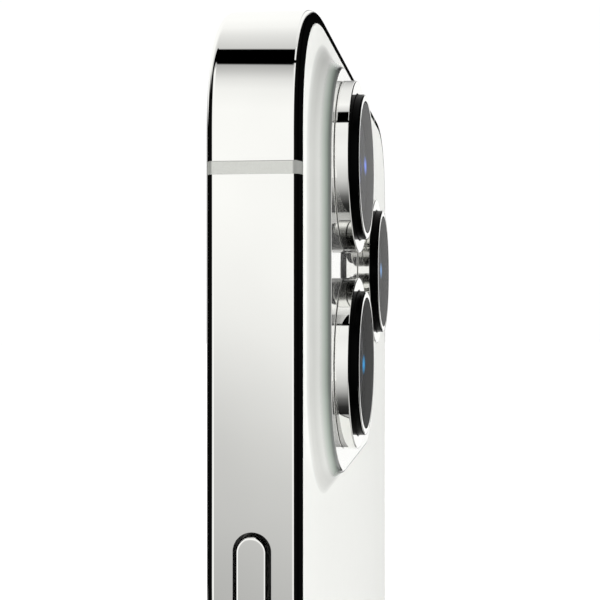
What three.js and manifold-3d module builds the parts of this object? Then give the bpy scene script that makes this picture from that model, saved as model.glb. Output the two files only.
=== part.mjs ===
// A flat-sided smartphone with a three-lens rear camera, standing on its bottom edge.
// Millimetres, +Z up. The screen faces -Y, the rear glass faces +Y, and the side button is
// on +X. The origin is the middle of the bottom of the bounding box.
//
// Depths are measured along Y from the flat of the rear glass: a negative depth lies towards
// the screen and a positive one stands proud of the rear glass.

import * as THREE from 'three';
import { mergeVertices } from 'three/addons/utils/BufferGeometryUtils.js';
import Module from 'manifold-3d';

const wasm = await Module();
wasm.setup();

// ---------------------------------------------------------------- driving dimensions

const WIDTH = 71.5;
const HEIGHT = 146.7;
const THICKNESS = 7.65;
const CAMERA_RISE = 3.6; // the lens covers stand this far proud of the rear glass
const CORNER_RADIUS = 12.5;
const CORNER_POWER = 2.5; // above 2, the corner eases into its sides
const CORNER_STEPS = 8;

const REAR_Y = THICKNESS - (THICKNESS + CAMERA_RISE) / 2;
const MID_DEPTH = -THICKNESS / 2;

// steel frame, as insets from the outline and depths
const EDGE_FILLET = 0.5;
const FRAME_WALL = 2.6;
const FRAME_FRONT = -7.5;
const FRAME_REAR = -0.02;
const FRONT_LIP = 0.62;
const REAR_LIP = 0.98;
const FRONT_SHELF = -6.9;
const REAR_SHELF = -0.75;

// plastic breaks between the frame's lengths
const BREAK_WIDTH = 1.0;
const SIDE_BREAK_FROM_END = 14.75;
const EDGE_BREAK_X = -19.5;

// glass, display and back plate
const GLASS_THICKNESS = 0.7;
const FRONT_GLASS_INSET = 0.84;
const REAR_GLASS_INSET = 1.04;
const GASKET_WIDTH = 0.14;
const GASKET_GAP = 0.03;
const GASKET_FRONT = -7.4;
const INNER_INSET = FRAME_WALL + 0.15;
const PANEL_REAR = -6.05;
const PLATE_REAR = -0.85;
const PLATE_FRONT = -1.3;
const PANEL_GAP = 0.02; // between the display panel and the frame's front shelf
const EARPIECE = { slit: [9.4, 0.9], grille: [9.1, 0.6], z: HEIGHT - 3.1, front: -7.4, rear: -7.1 };

// camera plateau, one piece with the rear glass
const PLATEAU = { x: 14.25, z: HEIGHT - 22.15, width: 35.4, height: 36.7, radius: 9.5 };
const PLATEAU_RISE = 1.7;
const PLATEAU_BEVEL = 1.1;
const PLATEAU_SHELL = 0.9;
const POCKET_MARGIN = 1.6;
const POCKET_RADIUS = 5.2;

// lenses: two in the column next to the side, one in the far column halfway between them
const LENSES = [
  { name: 'upper', x: 22.45, z: HEIGHT - 13.0 },
  { name: 'lower', x: 22.45, z: HEIGHT - 30.45 },
  { name: 'far', x: 6.1, z: HEIGHT - 21.72 },
];
const RING = { outer: 7.62, inner: 6.5, neck: 6.95, top: 2.92, bottom: 0.3, bevel: 0.2 };
const RING_GAP = 0.08;
const BEZEL = { outer: 6.42, inner: 5.2, top: 3.59, bottom: 0.6, chamfer: 0.13 };
const COVER_RADIUS = 5.78;
const COVER_SEAT = 2.85;
const BARREL = { radius: 4.6, front: 2.2, bottom: -3.6 };
const MODULE_SIDE = 13.4;
const MODULE_CORNER = 3.0;
const MODULE_TOP = 0.2;
const MODULE_BOTTOM = -4.2;
const MODULE_BORE = 4.9;
const TRAY = { x: [-1.4, 30.0], z: [108.8, 141.2], bottom: -4.75, rim: -2.5, wall: 0.4 };
const FLASH = { x: 6.1, z: HEIGHT - 8.7, radius: 3.1 };
const DEPTH_WINDOW = { x: 6.1, z: HEIGHT - 34.75, radius: 3.6 };
const REAR_MICROPHONE = { x: -0.4, z: HEIGHT - 12.9, radius: 0.45 };
const WINDOW_GAP = 0.12;
const WINDOW_DEPTH = 0.75;
const LENS_STEPS = 28;
const BORE_STEPS = 20;

// side controls
const SLOT_WIDTH = 3.0;
const CAP_WIDTH = 2.4;
const CAP_GAP = (SLOT_WIDTH - CAP_WIDTH) / 2;
const CAP_RISE = 0.35;
const FLANGE_MARGIN = { across: 0.8, along: 0.9 };
const FLANGE_CORNER = 0.6;
const FLANGE_THICKNESS = 0.6;
const FLANGE_GAP = 0.1;
const BUTTON_TRAVEL = 0.25;
const DOME = { radius: 1.2, height: 0.55, gap: 0.05 };
const STRIP = { width: 2.8, thickness: 0.3, end: 4 };
const SIDE_SLOT = { z: HEIGHT - 51.7, length: 18.0 };
const VOLUME_UP_SLOT = { z: HEIGHT - 43.5, length: 10.6 };
const VOLUME_DOWN_SLOT = { z: HEIGHT - 57.3, length: 10.6 };
const RING_SLOT = { z: HEIGHT - 29.6, length: 7.0, width: 2.8 };
const RING_LEVER = { width: 1.4, length: 4.6, corner: 0.7, travel: 0.8 };
const RING_SLIDER = { width: 3.5, length: 8.4, thickness: 0.5 };
const SIM_SLOT = { z: 63.0, length: 15.6, width: 1.9 };
const SIM_TRAY = { length: 15.2, width: 1.5, head: 1.5, body: 13.4, thickness: 1.1, reach: 20.0 };
const SIM_CARD = { width: 8.9, length: 12.4, fromHead: 2.2 };
const SIM_PIN_HOLE = { radius: 0.4, fromEnd: 1.9 };
const SIM_READER = { thickness: 2.1, wall: 0.6, side: 1.0, clearance: { thick: 0.15, across: 0.3 } };

// bottom edge
const SOCKET = { width: 8.3, height: 2.7, wall: 0.35, depth: 6.8, mouth: 0.25 };
const SOCKET_GAP = 0.2;
const SCREW = { x: 6.9, radius: 0.85, gap: 0.1, length: 4.6, recess: 0.45, lobe: 0.45 };
const GRILLE_HOLE = 0.72;
const GRILLE_PITCH = 2.5;
const SPEAKER_HOLES = { first: 10.8, count: 6, side: 1 };
const MICROPHONE_HOLES = { first: 10.8, count: 3, side: -1 };

// wireless charging
const COIL = { z: 66.0, inner: 9.0, outer: 21.0, front: -1.28, rear: -0.8 };
const MAGNETS = { inner: 23.5, outer: 27.5 };
const COIL_OPENING = 28.4;
const COIL_STEPS = 32;

// inner parts, as ranges of x, depth and z
const INNER_REAR = -1.75; // the rear face of most inner parts
const INNER_FRONT = -5.3;
const HAPTIC_HOUSING = { x: [-30.0, -8.5], depth: [-5.2, INNER_REAR], z: [8.8, 21.6] };
const HAPTIC_HOLLOW = { x: [-29.6, -8.9], depth: [-6.0, INNER_REAR - 0.4], z: [9.2, 21.2] };
const INNER_BLOCKS = [
  {
    name: 'board_shield',
    x: [-30.0, -6.3],
    depth: [INNER_FRONT, -2.57],
    z: [74.0, 127.5],
    finish: 'shield_can',
  },
  {
    name: 'haptic_mass',
    x: [-28.0, -10.5],
    depth: [-4.9, INNER_REAR - 0.7],
    z: [9.8, 20.6],
    finish: 'tungsten',
  },
  {
    name: 'loudspeaker',
    x: [8.6, 28.4],
    depth: [-5.2, INNER_REAR],
    z: [5.6, 21.6],
    finish: 'black_plastic',
  },
  {
    name: 'bottom_microphone',
    x: [-17.0, -9.0],
    depth: [-4.6, -3.0],
    z: [3.2, 6.0],
    finish: 'shield_can',
  },
  {
    name: 'earpiece_speaker',
    x: [-24.0, -13.5],
    depth: [-5.2, INNER_REAR],
    z: [135.6, 142.4],
    finish: 'black_plastic',
  },
  {
    name: 'front_camera',
    x: [-12.4, -4.6],
    depth: [-5.4, -2.4],
    z: [136.2, 143.0],
    finish: 'black_plastic',
  },
];

// corners of the flat inner parts: (x, z), or (depth, z) for the display flex
const BATTERY_CORNERS = [
  [-31.0, 24.0], [30.6, 24.0], [30.6, 104.5], [-4.5, 104.5], [-4.5, 46.0], [-31.0, 46.0],
];
const BOARD_CORNERS = [[-30.8, 47.0], [-5.4, 47.0], [-5.4, 131.5], [-30.8, 131.5]];
const BOARD_FRONT = -2.55;
const DISPLAY_FLEX_CORNERS = [
  [-5.5, 134.4], [-5.5, 134.6], [-2.65, 134.6], [-2.65, 128.6], [-2.85, 128.6], [-2.85, 134.4],
];
const DISPLAY_FLEX_X = [-20.0, -14.0];
const CHARGING_FLEX_CORNERS = [
  [-3.0, 8.0], [3.0, 8.0], [3.0, 12.0], [-12.0, 23.0],
  [-12.0, 56.0], [-17.0, 56.0], [-17.0, 22.0], [-3.0, 12.0],
];
const CHARGING_FLEX_DEPTH = [-1.65, -1.45];

// colour, roughness and metalness of each finish
const FINISHES = {
  steel: [0xdedfdb, 0.06, 1.0],
  antenna_plastic: [0xc9cac5, 0.45, 0.0],
  white_glass: [0xf0f1ec, 0.3, 0.0],
  cover_glass: [0x101216, 0.04, 0.0],
  lens_glass: [0x3c3f48, 0.03, 0.0],
  black_plastic: [0x111213, 0.35, 0.0],
  black_anodised: [0x0b0b0c, 0.3, 0.6],
  aluminium: [0xb4b6b8, 0.45, 1.0],
  copper: [0xb87333, 0.35, 1.0],
  magnet: [0x8d8f92, 0.4, 1.0],
  flash_diffuser: [0xf3ecc8, 0.25, 0.0],
  battery_wrap: [0x1c1d20, 0.55, 0.0],
  circuit_board: [0x17332b, 0.5, 0.0],
  shield_can: [0xa9aaac, 0.35, 1.0],
  flex_polyimide: [0x5b3a1c, 0.45, 0.0],
  tungsten: [0x6e7073, 0.4, 1.0],
};

const phone = new THREE.Group();

// ---------------------------------------------------------------- shapes and solids

function addPart(name, geometry, finish) {
  const [color, roughness, metalness] = FINISHES[finish];
  const material = new THREE.MeshStandardMaterial({ color, roughness, metalness });
  const mesh = new THREE.Mesh(geometry, material);
  mesh.name = name;
  phone.add(mesh);
}

function solidOf(geometry) {
  const bare = geometry.clone();
  bare.deleteAttribute('normal');
  bare.deleteAttribute('uv');
  const merged = mergeVertices(bare, 1e-4);
  return new wasm.Manifold(new wasm.Mesh({
    numProp: 3,
    vertProperties: new Float32Array(merged.attributes.position.array),
    triVerts: new Uint32Array(merged.index.array),
  }));
}

function geometryOf(solid) {
  const mesh = solid.getMesh();
  const geometry = new THREE.BufferGeometry();
  geometry.setAttribute('position', new THREE.BufferAttribute(mesh.vertProperties, 3));
  geometry.setIndex(new THREE.BufferAttribute(mesh.triVerts, 1));
  return geometry;
}

function cut(base, tools) {
  return geometryOf(tools.reduce((solid, tool) => solid.subtract(solidOf(tool)), solidOf(base)));
}

function join(pieces) {
  return geometryOf(pieces.slice(1).reduce((solid, piece) => solid.add(solidOf(piece)), solidOf(pieces[0])));
}

function common(first, second) {
  return geometryOf(solidOf(first).intersect(solidOf(second)));
}

function extrude(shape, length, steps) {
  return new THREE.ExtrudeGeometry(shape, { depth: length, bevelEnabled: false, curveSegments: steps });
}

// an outline drawn in (x, z), extruded between two depths
function alongY(shape, front, rear, steps = 8) {
  const geometry = extrude(shape, rear - front, steps);
  geometry.rotateX(Math.PI / 2);
  geometry.translate(0, REAR_Y + rear, 0);
  return geometry;
}

// an outline drawn in (depth, z), extruded between two x
function alongX(shape, low, high, steps = 5) {
  const geometry = extrude(shape, high - low, steps);
  const turn = new THREE.Matrix4().makeBasis(
    new THREE.Vector3(0, 1, 0),
    new THREE.Vector3(0, 0, 1),
    new THREE.Vector3(1, 0, 0),
  );
  geometry.applyMatrix4(turn);
  geometry.translate(low, REAR_Y, 0);
  return geometry;
}

// an outline drawn in (x, depth), extruded between two z
function alongZ(shape, low, high, steps = 5) {
  const geometry = extrude(shape, high - low, steps);
  geometry.translate(0, REAR_Y, low);
  return geometry;
}

function block([x0, x1], [front, rear], [z0, z1]) {
  const geometry = new THREE.BoxGeometry(x1 - x0, rear - front, z1 - z0);
  geometry.translate((x0 + x1) / 2, REAR_Y + (front + rear) / 2, (z0 + z1) / 2);
  return geometry;
}

// a profile of [radius, depth] points, turned about an axis along Y
function turned(profile, { x, z }, steps = LENS_STEPS) {
  const points = profile.map(([radius, depth]) => new THREE.Vector2(radius, depth));
  const geometry = new THREE.LatheGeometry(points, steps);
  geometry.translate(x, REAR_Y, z);
  return geometry;
}

function ring(inner, outer, front, rear, place, steps) {
  const profile = [[inner, front], [outer, front], [outer, rear], [inner, rear], [inner, front]];
  return turned(profile, place, steps);
}

function disc(radius, front, rear, place, steps) {
  return turned([[0, front], [radius, front], [radius, rear], [0, rear]], place, steps);
}

// the phone's outline, set in from its edge by an equal margin all round
function outline(inset) {
  const radius = CORNER_RADIUS - inset;
  const middleX = WIDTH / 2 - CORNER_RADIUS;
  const middleZ = HEIGHT / 2 - CORNER_RADIUS;
  const points = [];
  for (let corner = 0; corner < 4; corner += 1) {
    const signX = corner === 0 || corner === 3 ? 1 : -1;
    const signZ = corner < 2 ? 1 : -1;
    for (let step = 0; step <= CORNER_STEPS; step += 1) {
      const share = signX === signZ ? step / CORNER_STEPS : 1 - step / CORNER_STEPS;
      const angle = share * Math.PI / 2;
      const across = radius * Math.max(Math.cos(angle), 0) ** (2 / CORNER_POWER);
      const up = radius * Math.sin(angle) ** (2 / CORNER_POWER);
      points.push(new THREE.Vector2(
        signX * (middleX + across),
        HEIGHT / 2 + signZ * (middleZ + up),
      ));
    }
  }
  return new THREE.Shape(points);
}

function roundedRectangle(width, height, radius, centreX, centreY) {
  const shape = new THREE.Shape();
  const x = width / 2 - radius;
  const y = height / 2 - radius;
  shape.absarc(centreX + x, centreY + y, radius, 0, Math.PI / 2);
  shape.absarc(centreX - x, centreY + y, radius, Math.PI / 2, Math.PI);
  shape.absarc(centreX - x, centreY - y, radius, Math.PI, Math.PI * 1.5);
  shape.absarc(centreX + x, centreY - y, radius, Math.PI * 1.5, Math.PI * 2);
  return shape;
}

// two half circles joined by straight sides; the longer size may be either one
function pill(width, height, centreX, centreY) {
  const radius = Math.min(width, height) / 2;
  const x = width / 2 - radius;
  const y = height / 2 - radius;
  const turn = width > height ? -Math.PI / 2 : 0;
  const shape = new THREE.Shape();
  shape.absarc(centreX + x, centreY + y, radius, turn, turn + Math.PI);
  shape.absarc(centreX - x, centreY - y, radius, turn + Math.PI, turn + Math.PI * 2);
  return shape;
}

function polygon(corners) {
  return new THREE.Shape(corners.map(([x, y]) => new THREE.Vector2(x, y)));
}

// ---------------------------------------------------------------- steel frame

function frameBlank() {
  const geometry = new THREE.ExtrudeGeometry(outline(0), {
    depth: FRAME_REAR - FRAME_FRONT - 2 * EDGE_FILLET,
    bevelThickness: EDGE_FILLET,
    bevelSize: EDGE_FILLET,
    bevelOffset: -EDGE_FILLET,
    bevelSegments: 3,
  });
  geometry.rotateX(Math.PI / 2);
  geometry.translate(0, REAR_Y + FRAME_REAR - EDGE_FILLET, 0);
  return geometry;
}

function sideOpenings() {
  const outside = WIDTH / 2 + 1;
  const inside = WIDTH / 2 - FRAME_WALL - 1;
  const opening = ({ z, length, width = SLOT_WIDTH }, ends) => (
    alongX(pill(width, length, MID_DEPTH, z), ...ends)
  );
  const left = [VOLUME_UP_SLOT, VOLUME_DOWN_SLOT, RING_SLOT, SIM_SLOT].map((slot) => (
    opening(slot, [-outside, -inside])
  ));
  return [...left, opening(SIDE_SLOT, [inside, outside])];
}

function bottomOpenings() {
  const reach = [-1, FRAME_WALL + 1];
  const socketShape = pill(
    SOCKET.width + 2 * (SOCKET.wall + SOCKET_GAP),
    SOCKET.height + 2 * (SOCKET.wall + SOCKET_GAP),
    0,
    MID_DEPTH,
  );
  const openings = [alongZ(socketShape, ...reach)];
  for (const side of [-1, 1]) {
    const hole = new THREE.Shape().absarc(side * SCREW.x, MID_DEPTH, SCREW.radius + SCREW.gap, 0, Math.PI * 2);
    openings.push(alongZ(hole, ...reach));
  }
  for (const { first, count, side } of [SPEAKER_HOLES, MICROPHONE_HOLES]) {
    for (let index = 0; index < count; index += 1) {
      const x = side * (first + index * GRILLE_PITCH);
      const hole = new THREE.Shape().absarc(x, MID_DEPTH, GRILLE_HOLE, 0, Math.PI * 2);
      openings.push(alongZ(hole, ...reach));
    }
  }
  return openings;
}

function makeFrame() {
  const through = [FRAME_FRONT - 1, FRAME_REAR + 1];
  const pockets = [
    alongY(outline(FRAME_WALL), ...through),
    alongY(outline(FRONT_LIP), through[0], FRONT_SHELF),
    alongY(outline(REAR_LIP), REAR_SHELF, through[1]),
  ];
  const band = cut(frameBlank(), [...pockets, ...sideOpenings(), ...bottomOpenings()]);

  const far = 100;
  const half = BREAK_WIDTH / 2;
  const low = SIDE_BREAK_FROM_END;
  const high = HEIGHT - SIDE_BREAK_FROM_END;
  const edge = EDGE_BREAK_X;
  const lengths = {
    frame_right_rail: [[0, far], [low + half, high - half]],
    frame_left_rail: [[-far, 0], [low + half, high - half]],
    frame_top_right: [[edge + half, far], [high + half, HEIGHT + far]],
    frame_top_left: [[-far, edge - half], [high + half, HEIGHT + far]],
    frame_bottom_right: [[edge + half, far], [-far, low - half]],
    frame_bottom_left: [[-far, edge - half], [-far, low - half]],
  };
  for (const [name, [xs, zs]] of Object.entries(lengths)) {
    addPart(name, common(band, block(xs, through, zs)), 'steel');
  }
  const breaks = {
    right_top: [[0, far], [high - half, high + half]],
    right_bottom: [[0, far], [low - half, low + half]],
    left_top: [[-far, 0], [high - half, high + half]],
    left_bottom: [[-far, 0], [low - half, low + half]],
    top: [[edge - half, edge + half], [HEIGHT / 2, HEIGHT + far]],
    bottom: [[edge - half, edge + half], [-far, HEIGHT / 2]],
  };
  for (const [name, [xs, zs]] of Object.entries(breaks)) {
    addPart(`antenna_break_${name}`, common(band, block(xs, through, zs)), 'antenna_plastic');
  }
}

// ---------------------------------------------------------------- glass, display, back plate

function plateauOutline(margin, corner) {
  const { x, z, width, height } = PLATEAU;
  return roundedRectangle(width - 2 * margin, height - 2 * margin, corner, x, z);
}

function plateauBlock() {
  const hidden = 3; // reaches through the glass, and is trimmed off again
  const geometry = new THREE.ExtrudeGeometry(plateauOutline(0, PLATEAU.radius), {
    depth: PLATEAU_RISE + hidden,
    bevelThickness: PLATEAU_BEVEL,
    bevelSize: PLATEAU_BEVEL,
    bevelOffset: -PLATEAU_BEVEL,
    bevelSegments: 3,
    curveSegments: 7,
  });
  geometry.rotateX(Math.PI / 2);
  geometry.translate(0, REAR_Y + PLATEAU_RISE - PLATEAU_BEVEL, 0);
  const above = block([-WIDTH, WIDTH], [-GLASS_THICKNESS, 2 * PLATEAU_RISE], [0, HEIGHT]);
  return common(geometry, above);
}

function makeGlass() {
  const pocketTop = PLATEAU_RISE - PLATEAU_SHELL;
  const sheet = alongY(outline(REAR_GLASS_INSET), -GLASS_THICKNESS, 0);
  const through = [-GLASS_THICKNESS - 1, PLATEAU_RISE + 1];
  const holes = [
    alongY(plateauOutline(POCKET_MARGIN, POCKET_RADIUS), through[0], pocketTop, 5),
    ...LENSES.map((lens) => disc(RING.neck + RING_GAP, ...through, lens)),
    ...[FLASH, DEPTH_WINDOW].map((window) => (
      disc(window.radius + WINDOW_GAP, ...through, window, BORE_STEPS)
    )),
    disc(REAR_MICROPHONE.radius, ...through, REAR_MICROPHONE, 10),
  ];
  addPart('rear_glass', cut(join([sheet, plateauBlock()]), holes), 'white_glass');

  const innerFace = -THICKNESS + GLASS_THICKNESS;
  const front = alongY(outline(FRONT_GLASS_INSET), -THICKNESS, innerFace);
  const slit = alongY(pill(...EARPIECE.slit, 0, EARPIECE.z), -THICKNESS - 1, innerFace + 1);
  addPart('front_glass', cut(front, [slit]), 'cover_glass');
  const grille = alongY(pill(...EARPIECE.grille, 0, EARPIECE.z), EARPIECE.front, EARPIECE.rear);
  addPart('earpiece_grille', grille, 'black_plastic');

  const gasketInside = FRONT_GLASS_INSET - GASKET_GAP;
  const gasket = cut(
    alongY(outline(gasketInside - GASKET_WIDTH), GASKET_FRONT, FRONT_SHELF - PANEL_GAP),
    [alongY(outline(gasketInside), FRAME_FRONT - 1, 0)],
  );
  addPart('display_gasket', gasket, 'black_plastic');
  addPart('display_panel', alongY(outline(INNER_INSET), FRONT_SHELF + PANEL_GAP, PANEL_REAR), 'black_plastic');
}

function makeBackPlate() {
  const through = [PLATE_FRONT - 1, PLATE_REAR + 1];
  const openings = [
    alongY(plateauOutline(POCKET_MARGIN - 0.6, POCKET_RADIUS), ...through, 5),
    disc(COIL_OPENING, ...through, { x: 0, z: COIL.z }, COIL_STEPS),
  ];
  addPart('back_plate', cut(alongY(outline(INNER_INSET), PLATE_FRONT, PLATE_REAR), openings), 'aluminium');
}

function makeChargingCoil() {
  const place = { x: 0, z: COIL.z };
  addPart('charging_coil', ring(COIL.inner, COIL.outer, COIL.front, COIL.rear, place, COIL_STEPS), 'copper');
  addPart('magnet_ring', ring(MAGNETS.inner, MAGNETS.outer, COIL.front, COIL.rear, place, COIL_STEPS), 'magnet');
}

// ---------------------------------------------------------------- rear camera

function lensRing(lens) {
  const { outer, inner, neck, top, bottom, bevel } = RING;
  const seat = PLATEAU_RISE + RING_GAP;
  return turned([
    [inner, bottom],
    [neck, bottom],
    [neck, seat],
    [outer, seat],
    [outer, top - bevel],
    [outer - bevel, top],
    [inner, top],
    [inner, bottom],
  ], lens);
}

function lensBezel(lens) {
  const { outer, inner, top, bottom, chamfer } = BEZEL;
  const seatRadius = COVER_RADIUS + 0.06;
  return turned([
    [inner, bottom],
    [outer, bottom],
    [outer, top - chamfer],
    [outer - chamfer, top],
    [seatRadius, top],
    [seatRadius, COVER_SEAT],
    [inner, COVER_SEAT],
    [inner, bottom],
  ], lens);
}

// a threaded lens barrel: the front element sits in a shallow dish
function lensBarrel(lens) {
  const { radius, front, bottom } = BARREL;
  return turned([
    [0, bottom],
    [radius, bottom],
    [radius, front],
    [radius - 0.6, front],
    [2.4, front - 0.7],
    [1.3, front - 0.45],
    [0, front - 0.35],
  ], lens, BORE_STEPS);
}

function cameraModule(lens) {
  const side = roundedRectangle(MODULE_SIDE, MODULE_SIDE, MODULE_CORNER, lens.x, lens.z);
  const body = alongY(side, MODULE_BOTTOM, MODULE_TOP, 4);
  const bore = disc(MODULE_BORE, BARREL.bottom - 0.2, MODULE_TOP + 1, lens, BORE_STEPS);
  return cut(body, [bore]);
}

function makeRearCamera() {
  for (const lens of LENSES) {
    addPart(`lens_ring_${lens.name}`, lensRing(lens), 'steel');
    addPart(`lens_bezel_${lens.name}`, lensBezel(lens), 'black_anodised');
    addPart(`lens_cover_${lens.name}`, disc(COVER_RADIUS, COVER_SEAT + 0.02, CAMERA_RISE, lens), 'lens_glass');
    addPart(`lens_barrel_${lens.name}`, lensBarrel(lens), 'black_plastic');
    addPart(`camera_module_${lens.name}`, cameraModule(lens), 'black_plastic');
  }
  const { x, z, bottom, rim, wall } = TRAY;
  const inside = block(
    [x[0] + wall, x[1] - wall],
    [bottom + wall, rim + 1],
    [z[0] + wall, z[1] - wall],
  );
  addPart('camera_tray', cut(block(x, [bottom, rim], z), [inside]), 'aluminium');

  const front = PLATEAU_RISE - WINDOW_DEPTH;
  addPart('flash_lens', disc(FLASH.radius, front, PLATEAU_RISE, FLASH, BORE_STEPS), 'flash_diffuser');
  const depthWindow = disc(DEPTH_WINDOW.radius, front, PLATEAU_RISE, DEPTH_WINDOW, BORE_STEPS);
  addPart('depth_sensor_window', depthWindow, 'lens_glass');
}

// ---------------------------------------------------------------- side controls

// a cap that reaches through the frame's wall, with a flange that keeps it in
function pushButton(slot) {
  const wallInside = WIDTH / 2 - FRAME_WALL;
  const flangeOutside = wallInside - FLANGE_GAP;
  const flangeInside = flangeOutside - FLANGE_THICKNESS;
  const capLength = slot.length - 2 * CAP_GAP;
  const cap = alongX(pill(CAP_WIDTH, capLength, MID_DEPTH, slot.z), flangeInside + 0.1, WIDTH / 2 + CAP_RISE);
  const flangeWidth = CAP_WIDTH + 2 * FLANGE_MARGIN.across;
  const flangeLength = capLength + 2 * FLANGE_MARGIN.along;
  const flange = alongX(
    roundedRectangle(flangeWidth, flangeLength, FLANGE_CORNER, MID_DEPTH, slot.z),
    flangeInside,
    flangeOutside,
    2,
  );
  return join([cap, flange]);
}

// a flexible strip with a snap dome behind each button
function domeStrip(slots, [low, high]) {
  const flangeInside = WIDTH / 2 - FRAME_WALL - FLANGE_GAP - FLANGE_THICKNESS;
  const domeTop = flangeInside - BUTTON_TRAVEL - DOME.gap;
  const stripTop = domeTop - DOME.height;
  const across = [MID_DEPTH - STRIP.width / 2, MID_DEPTH + STRIP.width / 2];
  const strip = block([stripTop - STRIP.thickness, stripTop], across, [low, high]);
  const domes = slots.map(({ z }) => (
    alongX(new THREE.Shape().absarc(MID_DEPTH, z, DOME.radius, 0, Math.PI * 2), stripTop - 0.1, domeTop, 7)
  ));
  return join([strip, ...domes]);
}

// a part made for the +X side, turned half way round the upright axis for the -X side
function onLeft(geometry) {
  const across = geometry.clone();
  across.translate(0, -REAR_Y - MID_DEPTH, 0);
  across.rotateZ(Math.PI);
  across.translate(0, REAR_Y + MID_DEPTH, 0);
  return across;
}

// a small lever on a sliding plate, at rest at the end of its travel nearer the screen
function ringSwitch() {
  const { width, length, corner, travel } = RING_LEVER;
  const depth = MID_DEPTH - travel / 2;
  const wallInside = -WIDTH / 2 + FRAME_WALL;
  const plateX = [wallInside + FLANGE_GAP, wallInside + FLANGE_GAP + RING_SLIDER.thickness];
  const lever = alongX(
    roundedRectangle(width, length, corner, depth, RING_SLOT.z),
    -WIDTH / 2 - CAP_RISE,
    plateX[0] + 0.1,
    3,
  );
  const slider = block(
    plateX,
    [depth - RING_SLIDER.width / 2, depth + RING_SLIDER.width / 2],
    [RING_SLOT.z - RING_SLIDER.length / 2, RING_SLOT.z + RING_SLIDER.length / 2],
  );
  return join([lever, slider]);
}

function simTray() {
  const { length, width, head, body, thickness, reach } = SIM_TRAY;
  const headEnd = -WIDTH / 2 + head;
  const plug = alongX(pill(width, length, MID_DEPTH, SIM_SLOT.z), -WIDTH / 2, headEnd);
  const blade = block(
    [headEnd - 0.2, -WIDTH / 2 + reach],
    [MID_DEPTH - thickness / 2, MID_DEPTH + thickness / 2],
    [SIM_SLOT.z - body / 2, SIM_SLOT.z + body / 2],
  );
  const cardX = -WIDTH / 2 + head + SIM_CARD.fromHead;
  const card = block(
    [cardX, cardX + SIM_CARD.length],
    [MID_DEPTH - 2, MID_DEPTH + 2],
    [SIM_SLOT.z - SIM_CARD.width / 2, SIM_SLOT.z + SIM_CARD.width / 2],
  );
  const pinZ = SIM_SLOT.z - length / 2 + SIM_PIN_HOLE.fromEnd;
  const pinHole = alongX(
    new THREE.Shape().absarc(MID_DEPTH, pinZ, SIM_PIN_HOLE.radius, 0, Math.PI * 2),
    -WIDTH / 2 - 1,
    headEnd + 1,
    4,
  );
  return cut(join([plug, blade]), [card, pinHole]);
}

function simReader() {
  const { body, thickness, reach } = SIM_TRAY;
  const { wall, side, clearance } = SIM_READER;
  const inside = -WIDTH / 2 + FRAME_WALL + 0.3;
  const end = -WIDTH / 2 + reach + 2 * wall;
  const sleeve = block(
    [inside, end],
    [MID_DEPTH - SIM_READER.thickness / 2, MID_DEPTH + SIM_READER.thickness / 2],
    [SIM_SLOT.z - body / 2 - side, SIM_SLOT.z + body / 2 + side],
  );
  const slot = block(
    [inside - 1, end - wall],
    [MID_DEPTH - thickness / 2 - clearance.thick, MID_DEPTH + thickness / 2 + clearance.thick],
    [SIM_SLOT.z - body / 2 - clearance.across, SIM_SLOT.z + body / 2 + clearance.across],
  );
  return cut(sleeve, [slot]);
}

function makeSideControls() {
  addPart('side_button', pushButton(SIDE_SLOT), 'steel');
  const sideEnds = [SIDE_SLOT.z - SIDE_SLOT.length / 2, SIDE_SLOT.z + SIDE_SLOT.length / 2];
  addPart('side_switch', domeStrip([SIDE_SLOT], sideEnds), 'flex_polyimide');
  addPart('volume_up_button', onLeft(pushButton(VOLUME_UP_SLOT)), 'steel');
  addPart('volume_down_button', onLeft(pushButton(VOLUME_DOWN_SLOT)), 'steel');
  const volumeEnds = [VOLUME_DOWN_SLOT.z - STRIP.end, VOLUME_UP_SLOT.z + STRIP.end];
  const volumeStrip = domeStrip([VOLUME_UP_SLOT, VOLUME_DOWN_SLOT], volumeEnds);
  addPart('volume_switches', onLeft(volumeStrip), 'flex_polyimide');
  addPart('ring_switch', ringSwitch(), 'steel');
  addPart('sim_tray', simTray(), 'steel');
  addPart('sim_reader', simReader(), 'shield_can');
}

// ---------------------------------------------------------------- bottom edge

function chargingSocket() {
  const { width, height, wall, depth, mouth } = SOCKET;
  const shell = alongZ(pill(width + 2 * wall, height + 2 * wall, 0, MID_DEPTH), mouth, depth + wall);
  const cavity = alongZ(pill(width, height, 0, MID_DEPTH), mouth - 1, depth);
  return cut(shell, [cavity]);
}

function bottomScrew(side) {
  const { x, radius, length, recess, lobe } = SCREW;
  const shank = new THREE.CylinderGeometry(radius, radius, length, 14);
  shank.rotateX(Math.PI / 2);
  shank.translate(side * x, REAR_Y + MID_DEPTH, recess / 2 + length / 2);
  const drive = new THREE.CylinderGeometry(lobe, lobe, 2 * recess, 5);
  drive.rotateX(Math.PI / 2);
  drive.translate(side * x, REAR_Y + MID_DEPTH, recess / 2);
  return cut(shank, [drive]);
}

function makeBottomEdge() {
  addPart('charging_socket', chargingSocket(), 'shield_can');
  addPart('bottom_screw_left', bottomScrew(-1), 'steel');
  addPart('bottom_screw_right', bottomScrew(1), 'steel');
}

// ---------------------------------------------------------------- inner parts

function blockOf({ x, depth, z }) {
  return block(x, depth, z);
}

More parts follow.
